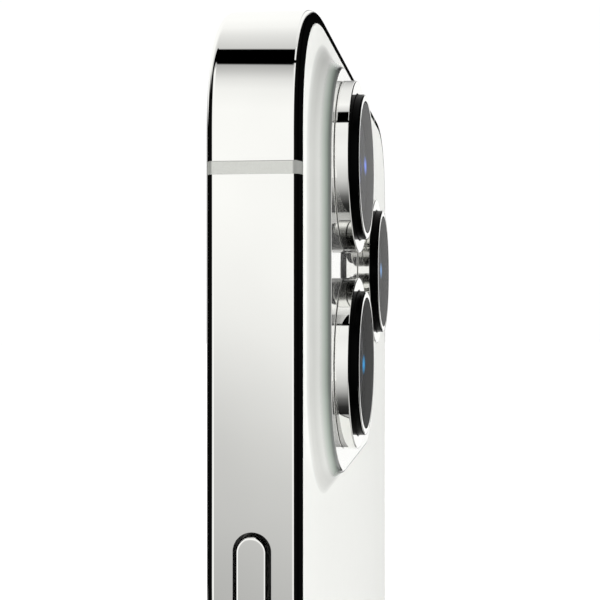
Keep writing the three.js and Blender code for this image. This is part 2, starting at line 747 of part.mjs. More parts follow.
function makeInnerParts() {
  addPart('battery', alongY(polygon(BATTERY_CORNERS), INNER_FRONT, INNER_REAR), 'battery_wrap');
  addPart('logic_board', alongY(polygon(BOARD_CORNERS), BOARD_FRONT, INNER_REAR), 'circuit_board');
  addPart('haptic_housing', cut(blockOf(HAPTIC_HOUSING), [blockOf(HAPTIC_HOLLOW)]), 'shield_can');
  for (const inner of INNER_BLOCKS) {
    addPart(inner.name, blockOf(inner), inner.finish);
  }
  addPart('display_flex', alongX(polygon(DISPLAY_FLEX_CORNERS), ...DISPLAY_FLEX_X), 'flex_polyimide');
  addPart('charging_flex', alongY(polygon(CHARGING_FLEX_CORNERS), ...CHARGING_FLEX_DEPTH), 'flex_polyimide');
}

makeFrame();
makeGlass();
makeBackPlate();
makeChargingCoil();
makeRearCamera();
makeSideControls();
makeBottomEdge();
makeInnerParts();

export default phone;
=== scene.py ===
"""The looks of a flat-sided smartphone with a three-lens rear camera, built round its CAD frame.

Lengths are in millimetres until a mesh is made, and depths are measured along +Y from the flat
of the rear glass, as in the CAD: negative towards the screen, positive proud of the rear glass.
"""
import math

import bmesh
import bpy
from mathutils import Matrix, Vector


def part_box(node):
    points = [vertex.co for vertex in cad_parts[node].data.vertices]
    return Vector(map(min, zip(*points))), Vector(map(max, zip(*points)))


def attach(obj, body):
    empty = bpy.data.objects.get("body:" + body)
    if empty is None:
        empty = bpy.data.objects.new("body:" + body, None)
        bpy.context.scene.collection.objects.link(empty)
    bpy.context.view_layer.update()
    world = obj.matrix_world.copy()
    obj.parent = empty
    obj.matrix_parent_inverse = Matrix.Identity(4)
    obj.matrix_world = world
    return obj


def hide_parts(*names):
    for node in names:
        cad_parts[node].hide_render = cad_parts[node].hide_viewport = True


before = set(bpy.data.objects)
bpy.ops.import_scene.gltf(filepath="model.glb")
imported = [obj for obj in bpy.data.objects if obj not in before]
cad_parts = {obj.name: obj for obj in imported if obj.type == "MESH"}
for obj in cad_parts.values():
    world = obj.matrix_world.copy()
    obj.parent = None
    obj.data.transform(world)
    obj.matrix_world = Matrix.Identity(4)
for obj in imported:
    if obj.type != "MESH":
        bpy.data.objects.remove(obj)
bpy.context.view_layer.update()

MM = 0.001
TAU = 2 * math.pi

# ---------------------------------------------------------------- dimensions

WIDTH = 71.5
HEIGHT = 146.7
THICKNESS = 7.65
CORNER_RADIUS = 12.5
CORNER_POWER = 2.5
CORNER_STEPS = 48
MIDDLE_X = WIDTH / 2 - CORNER_RADIUS
LOW_Z = CORNER_RADIUS
HIGH_Z = HEIGHT - CORNER_RADIUS

FRONT_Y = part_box("front_glass")[0].y / MM
REAR_Y = FRONT_Y + THICKNESS
MID_DEPTH = -THICKNESS / 2

FRONT_FILLET = 0.72
REAR_FILLET = 0.68
FRAME_WALL = 2.6
FRAME_FRONT = -7.5
FRAME_REAR = -0.02
FRONT_LIP = 0.76
REAR_LIP = 0.98
FRONT_SHELF = -6.9
REAR_SHELF = -0.75
BREAK_HALF = 0.5
LOW_BREAK = 14.75
HIGH_BREAK = HEIGHT - LOW_BREAK
EDGE_BREAK_X = -19.5

GLASS_THICKNESS = 0.7
FRONT_GLASS_INSET = 0.84
REAR_GLASS_INSET = 1.04

PLATEAU_X = 14.25
PLATEAU_Z = HEIGHT - 22.15
PLATEAU_SIZE = (35.4, 36.7)
PLATEAU_RADIUS = 9.5
PLATEAU_RISE = 1.7
PLATEAU_SHELL = 0.9
POCKET_MARGIN = 1.6
POCKET_RADIUS = 5.2

# lens parts: radii, and depths from the flat of the rear glass
RING = {"outer": 7.62, "inner": 6.5, "neck": 6.95, "top": 2.92, "seat": 1.74, "bottom": 0.3}
BEZEL = {"outer": 6.42, "inner": 5.2, "top": 3.59, "bottom": 0.6, "seat": 2.85, "bright": 0.04}
COVER = {"radius": 5.76, "low": 2.87, "high": 3.575}
BARREL = {"radius": 4.6, "bottom": -3.6, "top": 2.2, "apex": 2.45}
LENS_OPENINGS = {"upper": 2.9, "lower": 3.3, "far": 2.6}

SLOT_WIDTH = 3.0
CAP_WIDTH = 2.4
CAP_GAP = (SLOT_WIDTH - CAP_WIDTH) / 2
CAP_RISE = 0.35


def middle(node):
    """The middle of a CAD node's box, in millimetres."""
    low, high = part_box(node)
    return (low + high) / 2 / MM


LENSES = {name: middle(f"lens_ring_{name}") for name in ("upper", "lower", "far")}
FLASH = middle("flash_lens")
DEPTH_WINDOW = middle("depth_sensor_window")
REAR_MICROPHONE = (-0.4, HEIGHT - 12.9)

# ---------------------------------------------------------------- materials


class Tree:
    """A node tree, with short calls for what the materials and the world share."""

    def __init__(self, owner):
        owner.use_nodes = True
        self.tree = owner.node_tree
        self.tree.nodes.clear()

    def add(self, kind, **settings):
        node = self.tree.nodes.new(kind)
        for key, value in settings.items():
            setattr(node, key, value)
        return node

    def link(self, source, target):
        self.tree.links.new(source, target)

    def put(self, value, socket):
        if isinstance(value, bpy.types.NodeSocket):
            self.link(value, socket)
        else:
            socket.default_value = value

    def math(self, operation, *values, clamp=False):
        node = self.add("ShaderNodeMath", operation=operation, use_clamp=clamp)
        for index, value in enumerate(values):
            self.put(value, node.inputs[index])
        return node.outputs[0]

    def product(self, first, *others):
        for other in others:
            first = self.math("MULTIPLY", first, other)
        return first

    def length(self, first, second):
        """The length of a vector with these two components."""
        squares = [self.math("POWER", value, 2) for value in (first, second)]
        return self.math("SQRT", self.math("ADD", *squares))

    def ramp(self, value, stops):
        """A colour for each value from 0 to 1, from (value, colour) stops."""
        node = self.add("ShaderNodeValToRGB")
        self.put(value, node.inputs["Fac"])
        elements = node.color_ramp.elements
        for element, (position, colour) in zip(elements, (stops[0], stops[-1])):
            element.position, element.color = position, (*colour, 1)
        for position, colour in stops[1:-1]:
            elements.new(position).color = (*colour, 1)
        return node.outputs["Color"]


class Nodes(Tree):
    """A material built on one principled shader."""

    def __init__(self, name):
        self.material = bpy.data.materials.new(name)
        super().__init__(self.material)
        self.shader = self.add("ShaderNodeBsdfPrincipled")
        output = self.add("ShaderNodeOutputMaterial")
        self.link(self.shader.outputs["BSDF"], output.inputs["Surface"])
        self.place = self.add("ShaderNodeTexCoord").outputs["Object"]

    def set(self, **values):
        for key, value in values.items():
            self.put(value, self.shader.inputs[key.replace("_", " ")])

    def axis(self, name):
        """One coordinate of the surface point, in millimetres."""
        split = self.add("ShaderNodeSeparateXYZ")
        self.link(self.place, split.inputs[0])
        return self.math("DIVIDE", split.outputs[name], MM)

    def stretched(self, scale):
        """The surface point in millimetres, scaled along each axis."""
        node = self.add("ShaderNodeMapping")
        self.link(self.place, node.inputs["Vector"])
        node.inputs["Scale"].default_value = [value / MM for value in scale]
        return node.outputs["Vector"]

    def noise(self, scale, detail=3.0, roughness=0.55):
        """Noise from 0 to 1, with a scale per millimetre: one number, or one for each axis."""
        scales = (scale,) * 3 if isinstance(scale, (int, float)) else scale
        node = self.add("ShaderNodeTexNoise")
        self.link(self.stretched(scales), node.inputs["Vector"])
        node.inputs["Scale"].default_value = 1.0
        node.inputs["Detail"].default_value = detail
        node.inputs["Roughness"].default_value = roughness
        return node.outputs["Fac"]

    def cells(self, scale):
        """The distance to the nearest of scattered points, with a scale per millimetre."""
        node = self.add("ShaderNodeTexVoronoi")
        self.link(self.stretched((scale,) * 3), node.inputs["Vector"])
        node.inputs["Scale"].default_value = 1.0
        return node.outputs["Distance"]

    def spread(self, value, low, high, start=0.3, end=0.7):
        """Carries value from start..end to low..high, held at the ends."""
        node = self.add("ShaderNodeMapRange")
        self.put(value, node.inputs["Value"])
        node.inputs["From Min"].default_value = start
        node.inputs["From Max"].default_value = end
        node.inputs["To Min"].default_value = low
        node.inputs["To Max"].default_value = high
        return node.outputs["Result"]

    def mix(self, factor, first, second):
        node = self.add("ShaderNodeMix", data_type="RGBA")
        self.put(factor, node.inputs["Factor"])
        for value, socket in ((first, node.inputs["A"]), (second, node.inputs["B"])):
            self.put(value if isinstance(value, bpy.types.NodeSocket) else (*value, 1), socket)
        return node.outputs["Result"]

    def mottle(self, pattern, first, second):
        """Two colours, mixed by a noise."""
        return self.mix(self.spread(pattern, 0.0, 1.0), first, second)

    def off_centre(self, x, z):
        """How far the surface point is from an axis along Y, in millimetres."""
        across = self.math("SUBTRACT", self.axis("X"), x)
        return self.length(across, self.math("SUBTRACT", self.axis("Z"), z))

    def off_mid_depth(self):
        """How far the surface point is from the middle of the phone's thickness."""
        return self.math("ABSOLUTE", self.math("SUBTRACT", self.axis("Y"), REAR_Y + MID_DEPTH))

    def bump(self, height, distance, strength=1.0):
        """A bump of that depth in millimetres."""
        node = self.add("ShaderNodeBump")
        self.put(height, node.inputs["Height"])
        node.inputs["Distance"].default_value = distance * MM
        node.inputs["Strength"].default_value = strength
        self.link(node.outputs["Normal"], self.shader.inputs["Normal"])


def polished_steel(name, bonding_line_and_painted_reflection=False, facing=None):
    """Mirror steel: faint polishing clouds and hairlines, and dulled edges. The frame has a near
    black band next to the rear glass, partly a bonding line and partly a painted dark reflection.
    Facing gives the heights between which the walls of two lens rings face one another, where the
    steel's colour is darkened: painted shade."""
    n = Nodes(name)
    cloud = n.noise(0.09, 2.0)
    hairline = n.noise((7.0, 9.0, 0.22), 2.0)
    colour = n.mottle(cloud, (0.925, 0.925, 0.900), (0.885, 0.885, 0.862))
    metallic = 1.0
    # painted dark reflection: a near black, non-metal band along the frame's rear edge, partly a
    # bonding line
    if bonding_line_and_painted_reflection:
        line = n.spread(n.axis("Y"), 0.0, 1.0, REAR_Y - 0.34, REAR_Y - 0.28)
        colour = n.mix(line, colour, (0.002, 0.002, 0.002))
        metallic = n.spread(n.axis("Y"), 1.0, 0.0, REAR_Y - 0.27, REAR_Y - 0.22)
    # painted shade: where two lens rings face one another, their walls are darkened in colour
    if facing:
        low, high = facing
        above = n.spread(n.axis("Z"), 0.0, 1.0, low - 0.5, low + 0.3)
        below = n.spread(n.axis("Z"), 1.0, 0.0, high - 0.3, high + 0.5)
        rim = REAR_Y + RING["top"]
        wall = n.spread(n.axis("Y"), 1.0, 0.0, rim - 0.16, rim - 0.12)
        colour = n.mix(n.product(above, below, wall), colour, (0.26, 0.26, 0.25))
    n.set(Base_Color=colour, Metallic=metallic, Specular_IOR_Level=0.0)
    near_edge = n.spread(n.off_mid_depth(), 0.0, 0.02, 3.2, 3.75)
    wear = n.product(near_edge, n.noise(1.3, 4.0))
    n.set(Roughness=n.math("ADD", wear, n.spread(hairline, 0.018, 0.034, 0.52, 0.75)))
    n.bump(n.noise(0.35, 1.0), 0.0004)
    return n.material


def satin_steel(name, colour):
    """Turned or sintered metal of the small parts, with machining lines."""
    n = Nodes(name)
    grain = n.noise((3.0, 3.0, 14.0), 3.0)
    darker = tuple(value * 0.82 for value in colour)
    n.set(Base_Color=n.mottle(grain, colour, darker), Metallic=1.0)
    n.set(Roughness=n.spread(n.noise(2.0), 0.22, 0.36))
    n.bump(grain, 0.01, 0.6)
    return n.material


def antenna_plastic():
    """Moulded, filled plastic, sanded flush with the steel. Near its front and rear
    edges its colour is darker: painted shade.
    """
    n = Nodes("antenna_plastic")
    speck = n.noise(9.0, 4.0, 0.7)
    face = n.mottle(speck, (0.60, 0.61, 0.575), (0.55, 0.555, 0.525))
    # painted shade on the plastic's rounded front and rear edges
    edge = n.spread(n.off_mid_depth(), 0.0, 1.0, 3.12, 3.24)
    n.set(Base_Color=n.mix(edge, face, (0.27, 0.275, 0.26)))
    n.set(Roughness=n.spread(speck, 0.38, 0.52))
    n.bump(speck, 0.006, 0.7)
    return n.material


def white_rear_glass():
    """White glass with a matte, etched face; the camera plateau is the same glass, polished on top.
    Up the plateau's flank the colour holds painted shade that darkens from the foot, a painted
    highlight partway up, and a dark grey-green rim that is partly the clear glass's own tint and
    partly painted shade."""
    n = Nodes("white_rear_glass")
    height = n.math("SUBTRACT", n.axis("Y"), REAR_Y)
    share = n.math("DIVIDE", height, PLATEAU_RISE, clamp=True)
    # by height up the plateau's flank: painted shade, a painted highlight near the middle, then a
    # dark grey-green rim, partly the glass's tint and partly painted shade
    tint_and_painted_shade = n.ramp(share, [
        (0.0, (0.940, 0.946, 0.914)),
        (0.005, (0.800, 0.806, 0.780)),
        (0.03, (0.700, 0.706, 0.682)),
        (0.10, (0.590, 0.596, 0.572)),
        (0.25, (0.540, 0.546, 0.524)),
        (0.45, (0.600, 0.606, 0.584)),
        (0.55, (0.530, 0.542, 0.520)),
        (0.66, (0.410, 0.450, 0.410)),
        (0.80, (0.260, 0.294, 0.264)),
        (0.90, (0.130, 0.144, 0.132)),
        (0.985, (0.150, 0.156, 0.150)),
        (0.995, (0.870, 0.872, 0.850)),
    ])
    mottle = n.spread(n.noise(0.5, 3.0), 0.985, 1.0)
    shade = n.add("ShaderNodeMix", data_type="RGBA", blend_type="MULTIPLY")
    shade.inputs["Factor"].default_value = 1.0
    n.link(tint_and_painted_shade, shade.inputs["A"])
    n.link(mottle, shade.inputs["B"])
    n.set(Base_Color=shade.outputs["Result"])
    polish = n.spread(share, 0.0, 1.0, 0.30, 0.97)
    etched = n.spread(n.noise(14.0, 2.0), 0.33, 0.45)
    clear = n.spread(n.noise(0.8, 2.0), 0.012, 0.03)
    roughness = n.add("ShaderNodeMix", data_type="FLOAT")
    n.link(polish, roughness.inputs["Factor"])
    n.link(etched, roughness.inputs["A"])
    n.link(clear, roughness.inputs["B"])
    n.set(Roughness=roughness.outputs["Result"], IOR=1.5)
    facing = n.add("ShaderNodeLayerWeight").outputs["Facing"]
    n.set(Metallic=n.product(polish, n.spread(facing, 0.0, 0.85, 0.66, 0.84)))
    fine = n.product(n.noise(14.0, 2.0), n.math("SUBTRACT", 1.0, polish))
    n.bump(fine, 0.003, 0.5)
    return n.material


def black_glass(name, colour, roughness):
    """Opaque glass with a printed back, a little handled."""
    n = Nodes(name)
    smear = n.noise((0.10, 0.10, 0.07), 5.0, 0.65)
    lighter = tuple(value * 1.4 for value in colour)
    n.set(Base_Color=n.mottle(smear, colour, lighter), IOR=1.5)
    n.set(Roughness=n.spread(smear, roughness, roughness + 0.03))
    n.bump(n.noise(0.05, 1.0), 0.004)
    return n.material


def lens_glass(lens, residual, painted_glint, offset):
    """The clear cover of a lens. The anti-reflection coating is a lowered refractive index. A
    painted highlight, a glowing patch of coloured glint on the top face, is offset millimetres from
    the axis."""
    n = Nodes(f"lens_cover_{lens}")
    n.set(Base_Color=(0.96, 0.97, 1.0, 1), Transmission_Weight=1.0, IOR=residual)
    n.set(Roughness=n.spread(n.noise(0.6), 0.0, 0.012), Specular_Tint=(0.90, 0.90, 1.0, 1))
    n.bump(n.noise(0.12, 1.0), 0.0003)
    # painted highlight: the top face glows in the glint's colour over a patch near the axis
    across = n.math("DIVIDE", n.math("SUBTRACT", n.axis("X"), LENSES[lens].x + offset), 1.5)
    along = n.math("SUBTRACT", n.axis("Z"), LENSES[lens].z)
    painted_glint_patch = n.spread(n.length(across, along), 0.85, 0.0, 0.15, 0.9)
    top = REAR_Y + COVER["high"]
    face = n.spread(n.axis("Y"), 0.0, 1.0, top - 0.02, top - 0.01)
    n.set(Emission_Color=(*painted_glint, 1), Emission_Strength=n.product(painted_glint_patch, face))
    return n.material


def coated_lens(name, lens, tint, painted_glint, half_size):
    """An inner lens: near black, with a coloured coating. A painted highlight makes it glow,
    brightest on the axis.
    """
    n = Nodes(name)
    ring = n.noise(0.8, 1.0)
    n.set(Base_Color=n.mottle(ring, tint, tuple(value * 0.5 for value in tint)), Metallic=1.0)
    n.set(Roughness=n.spread(ring, 0.04, 0.09), Emission_Color=(*painted_glint, 1))
    n.bump(ring, 0.001)
    # painted highlight: a glow, brightest on the axis, fading out by half_size
    off_axis = n.off_centre(LENSES[lens].x, LENSES[lens].z)
    n.set(Emission_Strength=n.spread(off_axis, 0.12, 0.0, half_size * 0.3, half_size))
    return n.material


def grained(name, noise, first, second, roughness, relief, strength=1.0, **settings):
    """A finish whose colour, roughness and relief all follow one noise."""
    n = Nodes(name)
    grain = n.noise(*noise)
    n.set(Base_Color=n.mottle(grain, first, second), Roughness=n.spread(grain, *roughness))
    n.set(**settings)
    n.bump(grain, relief, strength)
    return n.material


def painted(name, colour, roughness, scale=5.0, metallic=0.0, relief=0.01):
    """A plain finish with a fine grain: moulded, wrapped, printed or plated."""
    darker = tuple(value * 0.78 for value in colour)
    rougher = (roughness, roughness + 0.14)
    return grained(name, (scale, 4.0), colour, darker, rougher, relief, 0.6, Metallic=metallic)


def coil_copper():
    """Flat-wound copper: turns 0.45 mm apart, lacquered."""
    n = Nodes("copper_coil")
    coil = middle("charging_coil")
    groove = n.spread(n.math("PINGPONG", n.off_centre(coil.x, coil.z), 0.225), 0.0, 1.0, 0.0, 0.08)
    n.set(Base_Color=n.mix(groove, (0.18, 0.07, 0.03), (0.72, 0.33, 0.15)), Metallic=1.0)
    n.set(Roughness=n.spread(n.noise(1.5), 0.25, 0.4))
    n.bump(groove, 0.05)
    return n.material


def circuit_board():
    """Green solder mask with small bright pads."""
    n = Nodes("circuit_board")
    pad = n.spread(n.cells(0.55), 1.0, 0.0, 0.16, 0.2)
    mask = n.mottle(n.noise(0.6), (0.008, 0.035, 0.022), (0.012, 0.05, 0.032))
    n.set(Base_Color=n.mix(pad, mask, (0.78, 0.62, 0.28)), Metallic=pad)
    n.set(Roughness=n.spread(n.noise(3.0), 0.3, 0.45))
    n.bump(pad, 0.03)
    return n.material


def mesh_grille(name):
    """A fine woven metal mesh behind a small opening."""
    n = Nodes(name)
    threads = [n.math("PINGPONG", n.axis(axis), 0.05) for axis in ("X", "Z")]
    hole = n.product(*[n.spread(thread, 0.0, 1.0, 0.015, 0.025) for thread in threads])
    n.set(Base_Color=n.mix(hole, (0.09, 0.09, 0.095), (0.002, 0.002, 0.002)), Metallic=0.6)
    n.set(Roughness=n.spread(n.noise(3.0), 0.35, 0.5))
    n.bump(n.math("SUBTRACT", 1.0, hole), 0.02)
    return n.material


def flash_glass():
    """The moulded, faintly yellow cover of the flash."""
    n = Nodes("flash_diffuser")
    cloud = n.noise(2.2, 3.0)
    n.set(Base_Color=n.mottle(cloud, (0.86, 0.82, 0.62), (0.78, 0.70, 0.42)))
    n.set(Roughness=n.spread(cloud, 0.12, 0.24), Coat_Weight=1.0, Coat_Roughness=0.04)
    n.bump(n.cells(2.4), 0.02, 0.5)
    return n.material


def studio_white(name, colour, near, far):
    """The floor and backdrop: matte, and lit evenly right to its far edge."""
    n = Nodes(name)
    n.set(Base_Color=colour, Roughness=0.9, Specular_IOR_Level=0.0)
    away = n.add("ShaderNodeVectorMath", operation="LENGTH")
    n.link(n.place, away.inputs[0])
    n.set(Emission_Color=(1, 1, 1, 1))
    n.set(Emission_Strength=n.spread(away.outputs["Value"], near, far, 0.12, 0.4))
    return n.material


STEEL = polished_steel("polished_steel")
FRAME_STEEL = polished_steel("frame_steel", bonding_line_and_painted_reflection=True)
# the span of the painted shade on the facing walls of the upper and lower lens rings
FACING_FROM = 6.1  # where a ring's wall begins to face the next ring, along Z from its middle
FACING = (LENSES["lower"].z + FACING_FROM, LENSES["upper"].z - FACING_FROM)
RING_STEEL = polished_steel("ring_steel", facing=FACING)
PLASTIC_BREAK = antenna_plastic()
REAR_GLASS = white_rear_glass()
FRONT_BORDER = black_glass("front_glass_border", (0.0035, 0.0035, 0.004), 0.015)
DISPLAY = black_glass("display_area", (0.006, 0.0065, 0.009), 0.015)
SENSOR_GLASS = black_glass("sensor_window", (0.006, 0.004, 0.008), 0.02)
# the third value is the colour of each cover's painted glint, a glowing patch
COVER_GLASS = {
    "upper": lens_glass("upper", 1.025, (0.16, 0.26, 0.90), 1.2),
    "lower": lens_glass("lower", 1.0105, (0.02, 0.36, 0.78), 2.5),
    "far": lens_glass("far", 1.0145, (0.16, 0.36, 0.72), 2.9),
}
# the covers' underside and edge, coated so well that they reflect almost nothing
INNER_FACE = grained(
    "lens_cover_inner_face", (0.6,), (0.98, 0.98, 1.0), (0.95, 0.96, 1.0), (0.0, 0.01), 0.0003,
    Transmission_Weight=1.0, IOR=1.001,
)
# the glint colours and half sizes set each coating's painted glow
COATINGS = {
    lens: coated_lens(f"lens_coating_{hue}", lens, tint, painted_glint, half_size)
    for lens, hue, tint, painted_glint, half_size in (
        ("upper", "periwinkle", (0.10, 0.14, 0.45), (0.14, 0.22, 0.80), 0.9),
        ("lower", "cyan", (0.03, 0.16, 0.30), (0.02, 0.35, 0.72), 1.1),
        ("far", "blue", (0.08, 0.14, 0.34), (0.14, 0.34, 0.66), 1.3),
    )
}
BLACK_METAL = grained(
    "black_anodised", (7.0, 3.0), (0.0002, 0.0002, 0.0003), (0.0006, 0.0006, 0.0006),
    (0.16, 0.26), 0.001, 0.5, IOR=1.3, Specular_IOR_Level=0.06,
)
BLACK = grained(
    "black_plastic", (5.0, 4.0), (0.010, 0.010, 0.011), (0.018, 0.018, 0.019),
    (0.38, 0.55), 0.01, 0.6,
)
CONTACT = satin_steel("gold_contact", (0.86, 0.66, 0.30))
SOCKET_STEEL = satin_steel("socket_metal", (0.46, 0.46, 0.47))
SCREW_STEEL = satin_steel("screw_steel", (0.72, 0.72, 0.70))
GRILLE = mesh_grille("acoustic_mesh")
FLASH_GLASS = flash_glass()
SEAL = painted("black_seal", (0.006, 0.006, 0.006), 0.6)
# painted shade: the walls cut round the frame's openings and holes are near black
SLOT_WALL_PAINTED_SHADE = painted("slot_wall_painted_shade", (0.010, 0.010, 0.010), 0.45, 4.0)
SIGNAL = painted("switch_marking", (0.80, 0.13, 0.02), 0.4)

MODULES = [f"camera_module_{name}" for name in LENSES]
INNER_FINISHES = {
    BLACK: ["earpiece_speaker", "loudspeaker", "front_camera", "display_panel", *MODULES],
    painted("aluminium", (0.62, 0.63, 0.64), 0.38, 6.0, 1.0): ["back_plate", "camera_tray"],
    coil_copper(): ["charging_coil"],
    painted("magnets", (0.42, 0.43, 0.44), 0.32, 2.0, 1.0): ["magnet_ring"],
    painted("battery_wrap", (0.016, 0.017, 0.020), 0.5, 1.2, 0.0, 0.04): ["battery"],
    circuit_board(): ["logic_board"],
    painted("shield_can", (0.50, 0.50, 0.51), 0.3, 3.0, 1.0): [
        "board_shield", "haptic_housing", "sim_reader", "bottom_microphone",
    ],
    painted("tungsten", (0.26, 0.26, 0.27), 0.35, 4.0, 1.0): ["haptic_mass"],
    painted("flex_circuit", (0.19, 0.09, 0.03), 0.35, 3.0): [
        "display_flex", "charging_flex", "side_switch", "volume_switches",
    ],
}
for finish, names in INNER_FINISHES.items():
    for name in names:
        for material_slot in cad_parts[name].material_slots:
            material_slot.material = finish

# ---------------------------------------------------------------- mesh building


def arc(centre, radius, start, end, steps):
    """Points on a circular arc, both ends included, with angles in degrees."""
    points = []
    for step in range(steps + 1):
        angle = math.radians(start + (end - start) * step / steps)
        points.append((centre[0] + radius * math.cos(angle), centre[1] + radius * math.sin(angle)))
    return points


def corner_stations(side, end):
    """Stations round one corner of the outline, from the side face to the end face. A station is
    the middle of the corner's curve and the direction to the edge from it."""
    centre = (side * MIDDLE_X, HIGH_Z if end > 0 else LOW_Z)
    stations = []
    for step in range(CORNER_STEPS + 1):
        angle = step / CORNER_STEPS * math.pi / 2
        across = max(math.cos(angle), 0.0) ** (2 / CORNER_POWER)
        up = math.sin(angle) ** (2 / CORNER_POWER)
        stations.append((*centre, side * across, end * up))
    return stations


def station_point(station, inset, depth):
    x, z, across, up = station
    reach = CORNER_RADIUS - inset
    return (x + across * reach, REAR_Y + depth, z + up * reach)


ROUND_STATIONS = (
    corner_stations(1, 1)
    + corner_stations(-1, 1)[::-1]
    + corner_stations(-1, -1)
    + corner_stations(1, -1)[::-1]
)


def outline(inset, depth):
    """The phone's whole outline, set in from its edge, at one depth."""
    return [station_point(station, inset, depth) for station in ROUND_STATIONS]


def rounded_rectangle(width, height, radius, centre, steps=14):
    """(u, v) points round a rectangle with round corners."""
    u, v = width / 2 - radius, height / 2 - radius
    points = []
    for sign_u, sign_v, start in ((1, 1, 0), (-1, 1, 90), (-1, -1, 180), (1, -1, 270)):
        corner = (centre[0] + sign_u * u, centre[1] + sign_v * v)
        points += arc(corner, radius, start, start + 90, steps)
    return points


def pill(width, height, centre, steps=16):
    return rounded_rectangle(width, height, min(width, height) / 2 - 1e-4, centre, steps)


def circle(radius, centre, steps=96):
    return arc(centre, radius, 0, 360 * (steps - 1) / steps, steps - 1)


def facing_rear(points, depth):
    """(x, z) points at one depth."""
    return [(x, REAR_Y + depth, z) for x, z in points]


def facing_side(points, x):
    """(depth, z) points at one x."""
    return [(x, REAR_Y + depth, z) for depth, z in points]


def facing_down(points, z):
    """(x, depth) points at one z."""
    return [(x, REAR_Y + depth, z) for x, depth in points]


class Solid:
    """A mesh in the making, from loops of points that are lofted, capped and filled."""

    def __init__(self):
        self.bm = bmesh.new()

    def loop(self, points):
        return [self.bm.verts.new(Vector(point) * MM) for point in points]

    def bridge(self, first, second):
        count = len(first)
        for index in range(count):
            after = (index + 1) % count
            self.bm.faces.new((first[index], first[after], second[after], second[index]))

    def loft(self, loops):
        """Joins point loops one to the next, and returns the first and last as vertices."""
        made = [self.loop(points) for points in loops]
        for first, second in zip(made, made[1:]):
            self.bridge(first, second)
        return made[0], made[-1]

    def prism(self, *loops):
        """Lofts point loops and caps both ends."""
        for end in self.loft(loops):
            self.cap(end)

    def cap(self, loop, material=0):
        self.bm.faces.new(loop).material_index = material

    def point_cap(self, loop, point):
        """Closes a loop with a fan to one point."""
        tip = self.bm.verts.new(Vector(point) * MM)
        for first, second in zip(loop, loop[1:] + loop[:1]):
            self.bm.faces.new((first, second, tip))

    def fill(self, loops, material=0):
        """Fills a flat region between an outer loop and the holes in it."""
        edges = []
        for loop in loops:
            for pair in zip(loop, loop[1:] + loop[:1]):
                edges.append(self.bm.edges.get(pair) or self.bm.edges.new(pair))
        made = bmesh.ops.triangle_fill(self.bm, edges=edges, use_beauty=True)
        for item in made["geom"]:
            if isinstance(item, bmesh.types.BMFace):
                item.material_index = material

    def paint(self, chosen):
        """Gives the second material to the faces whose middle, in millimetres, is chosen."""
        for face in self.bm.faces:
            if chosen(face.calc_center_median() / MM):
                face.material_index = 1

    def object(self, name, materials, sharp=32):
        """The finished object: normals outwards, smooth but for its sharp edges."""
        bmesh.ops.recalc_face_normals(self.bm, faces=self.bm.faces)
        mesh = bpy.data.meshes.new(name)
        self.bm.to_mesh(mesh)
        self.bm.free()
        for material in materials:
            mesh.materials.append(material)
        mesh.polygons.foreach_set("use_smooth", [True] * len(mesh.polygons))
        mesh.set_sharp_from_angle(angle=math.radians(sharp))
        made = bpy.data.objects.new(name, mesh)
        bpy.context.scene.collection.objects.link(made)
        return made

    def piece(self, name, materials, finish, body="chassis", sharp=32):
        """The finished object, settled on its body."""
        settle(self.object(name, materials, sharp), name, body)


def settle(made, name, body="chassis"):
    """Puts a piece on its body. It stands for the CAD node of its name,
    if there is one."""
    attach(made, body)
    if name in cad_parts:
        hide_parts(name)


def lathe(profile, centre, steps):
    """Turns (radius, depth) points about an axis along Y. A profile that starts on the axis also
    ends on it; any other is closed into a ring."""
    solid = Solid()
    first, last = solid.loft([
        facing_rear(circle(radius, centre, steps), depth) for radius, depth in profile if radius > 0
    ])
    if profile[0][0] > 0:
        solid.bridge(last, first)
        return solid
    for loop, (_, depth) in ((first, profile[0]), (last, profile[-1])):
        solid.point_cap(loop, (centre[0], REAR_Y + depth, centre[1]))
    return solid


def carve(made, cutters, bevel, wall):
    """Cuts solids out of an object, then breaks its sharp edges by a small bevel. The cut faces
    take the wall material."""
    tools = [cutter.object("cutter", [wall]) for cutter in cutters]
    for tool in tools:
        modifier = made.modifiers.new("cut", "BOOLEAN")
        modifier.operation = "DIFFERENCE"
        modifier.solver = "EXACT"
        modifier.material_mode = "TRANSFER"
        modifier.object = tool
    modifier = made.modifiers.new("edges", "BEVEL")
    modifier.width = bevel * MM
    modifier.segments = 2
    modifier.limit_method = "ANGLE"
    modifier.angle_limit = math.radians(50)
    modifier.harden_normals = True
    graph = bpy.context.evaluated_depsgraph_get()
    mesh = bpy.data.meshes.new_from_object(made.evaluated_get(graph))
    made.modifiers.clear()
    old = made.data
    made.data = mesh
    bpy.data.meshes.remove(old)
    mesh.name = made.name
    for tool in tools:
        bpy.data.objects.remove(tool)


# ---------------------------------------------------------------- steel frame

FILLET_STEPS = 10
STRIP = 0.03  # a flat strip next to each fillet keeps the flat's shading flat


def frame_section():
    """The frame's section as (inset, depth) points, all the way round."""
    front = arc((FRONT_FILLET, FRAME_FRONT + FRONT_FILLET), FRONT_FILLET, -90, -180, FILLET_STEPS)
    rear = arc((REAR_FILLET, FRAME_REAR - REAR_FILLET), REAR_FILLET, 180, 90, FILLET_STEPS)
    return [
        (FRAME_WALL, FRONT_SHELF),
        (FRONT_LIP, FRONT_SHELF),
        (FRONT_LIP, FRAME_FRONT),
        *front,
        (0.0, FRAME_FRONT + FRONT_FILLET + STRIP),
        (0.0, FRAME_REAR - REAR_FILLET - STRIP),
        *rear,
        (REAR_LIP, FRAME_REAR),
        (REAR_LIP, REAR_SHELF),
        (FRAME_WALL, REAR_SHELF),
    ]


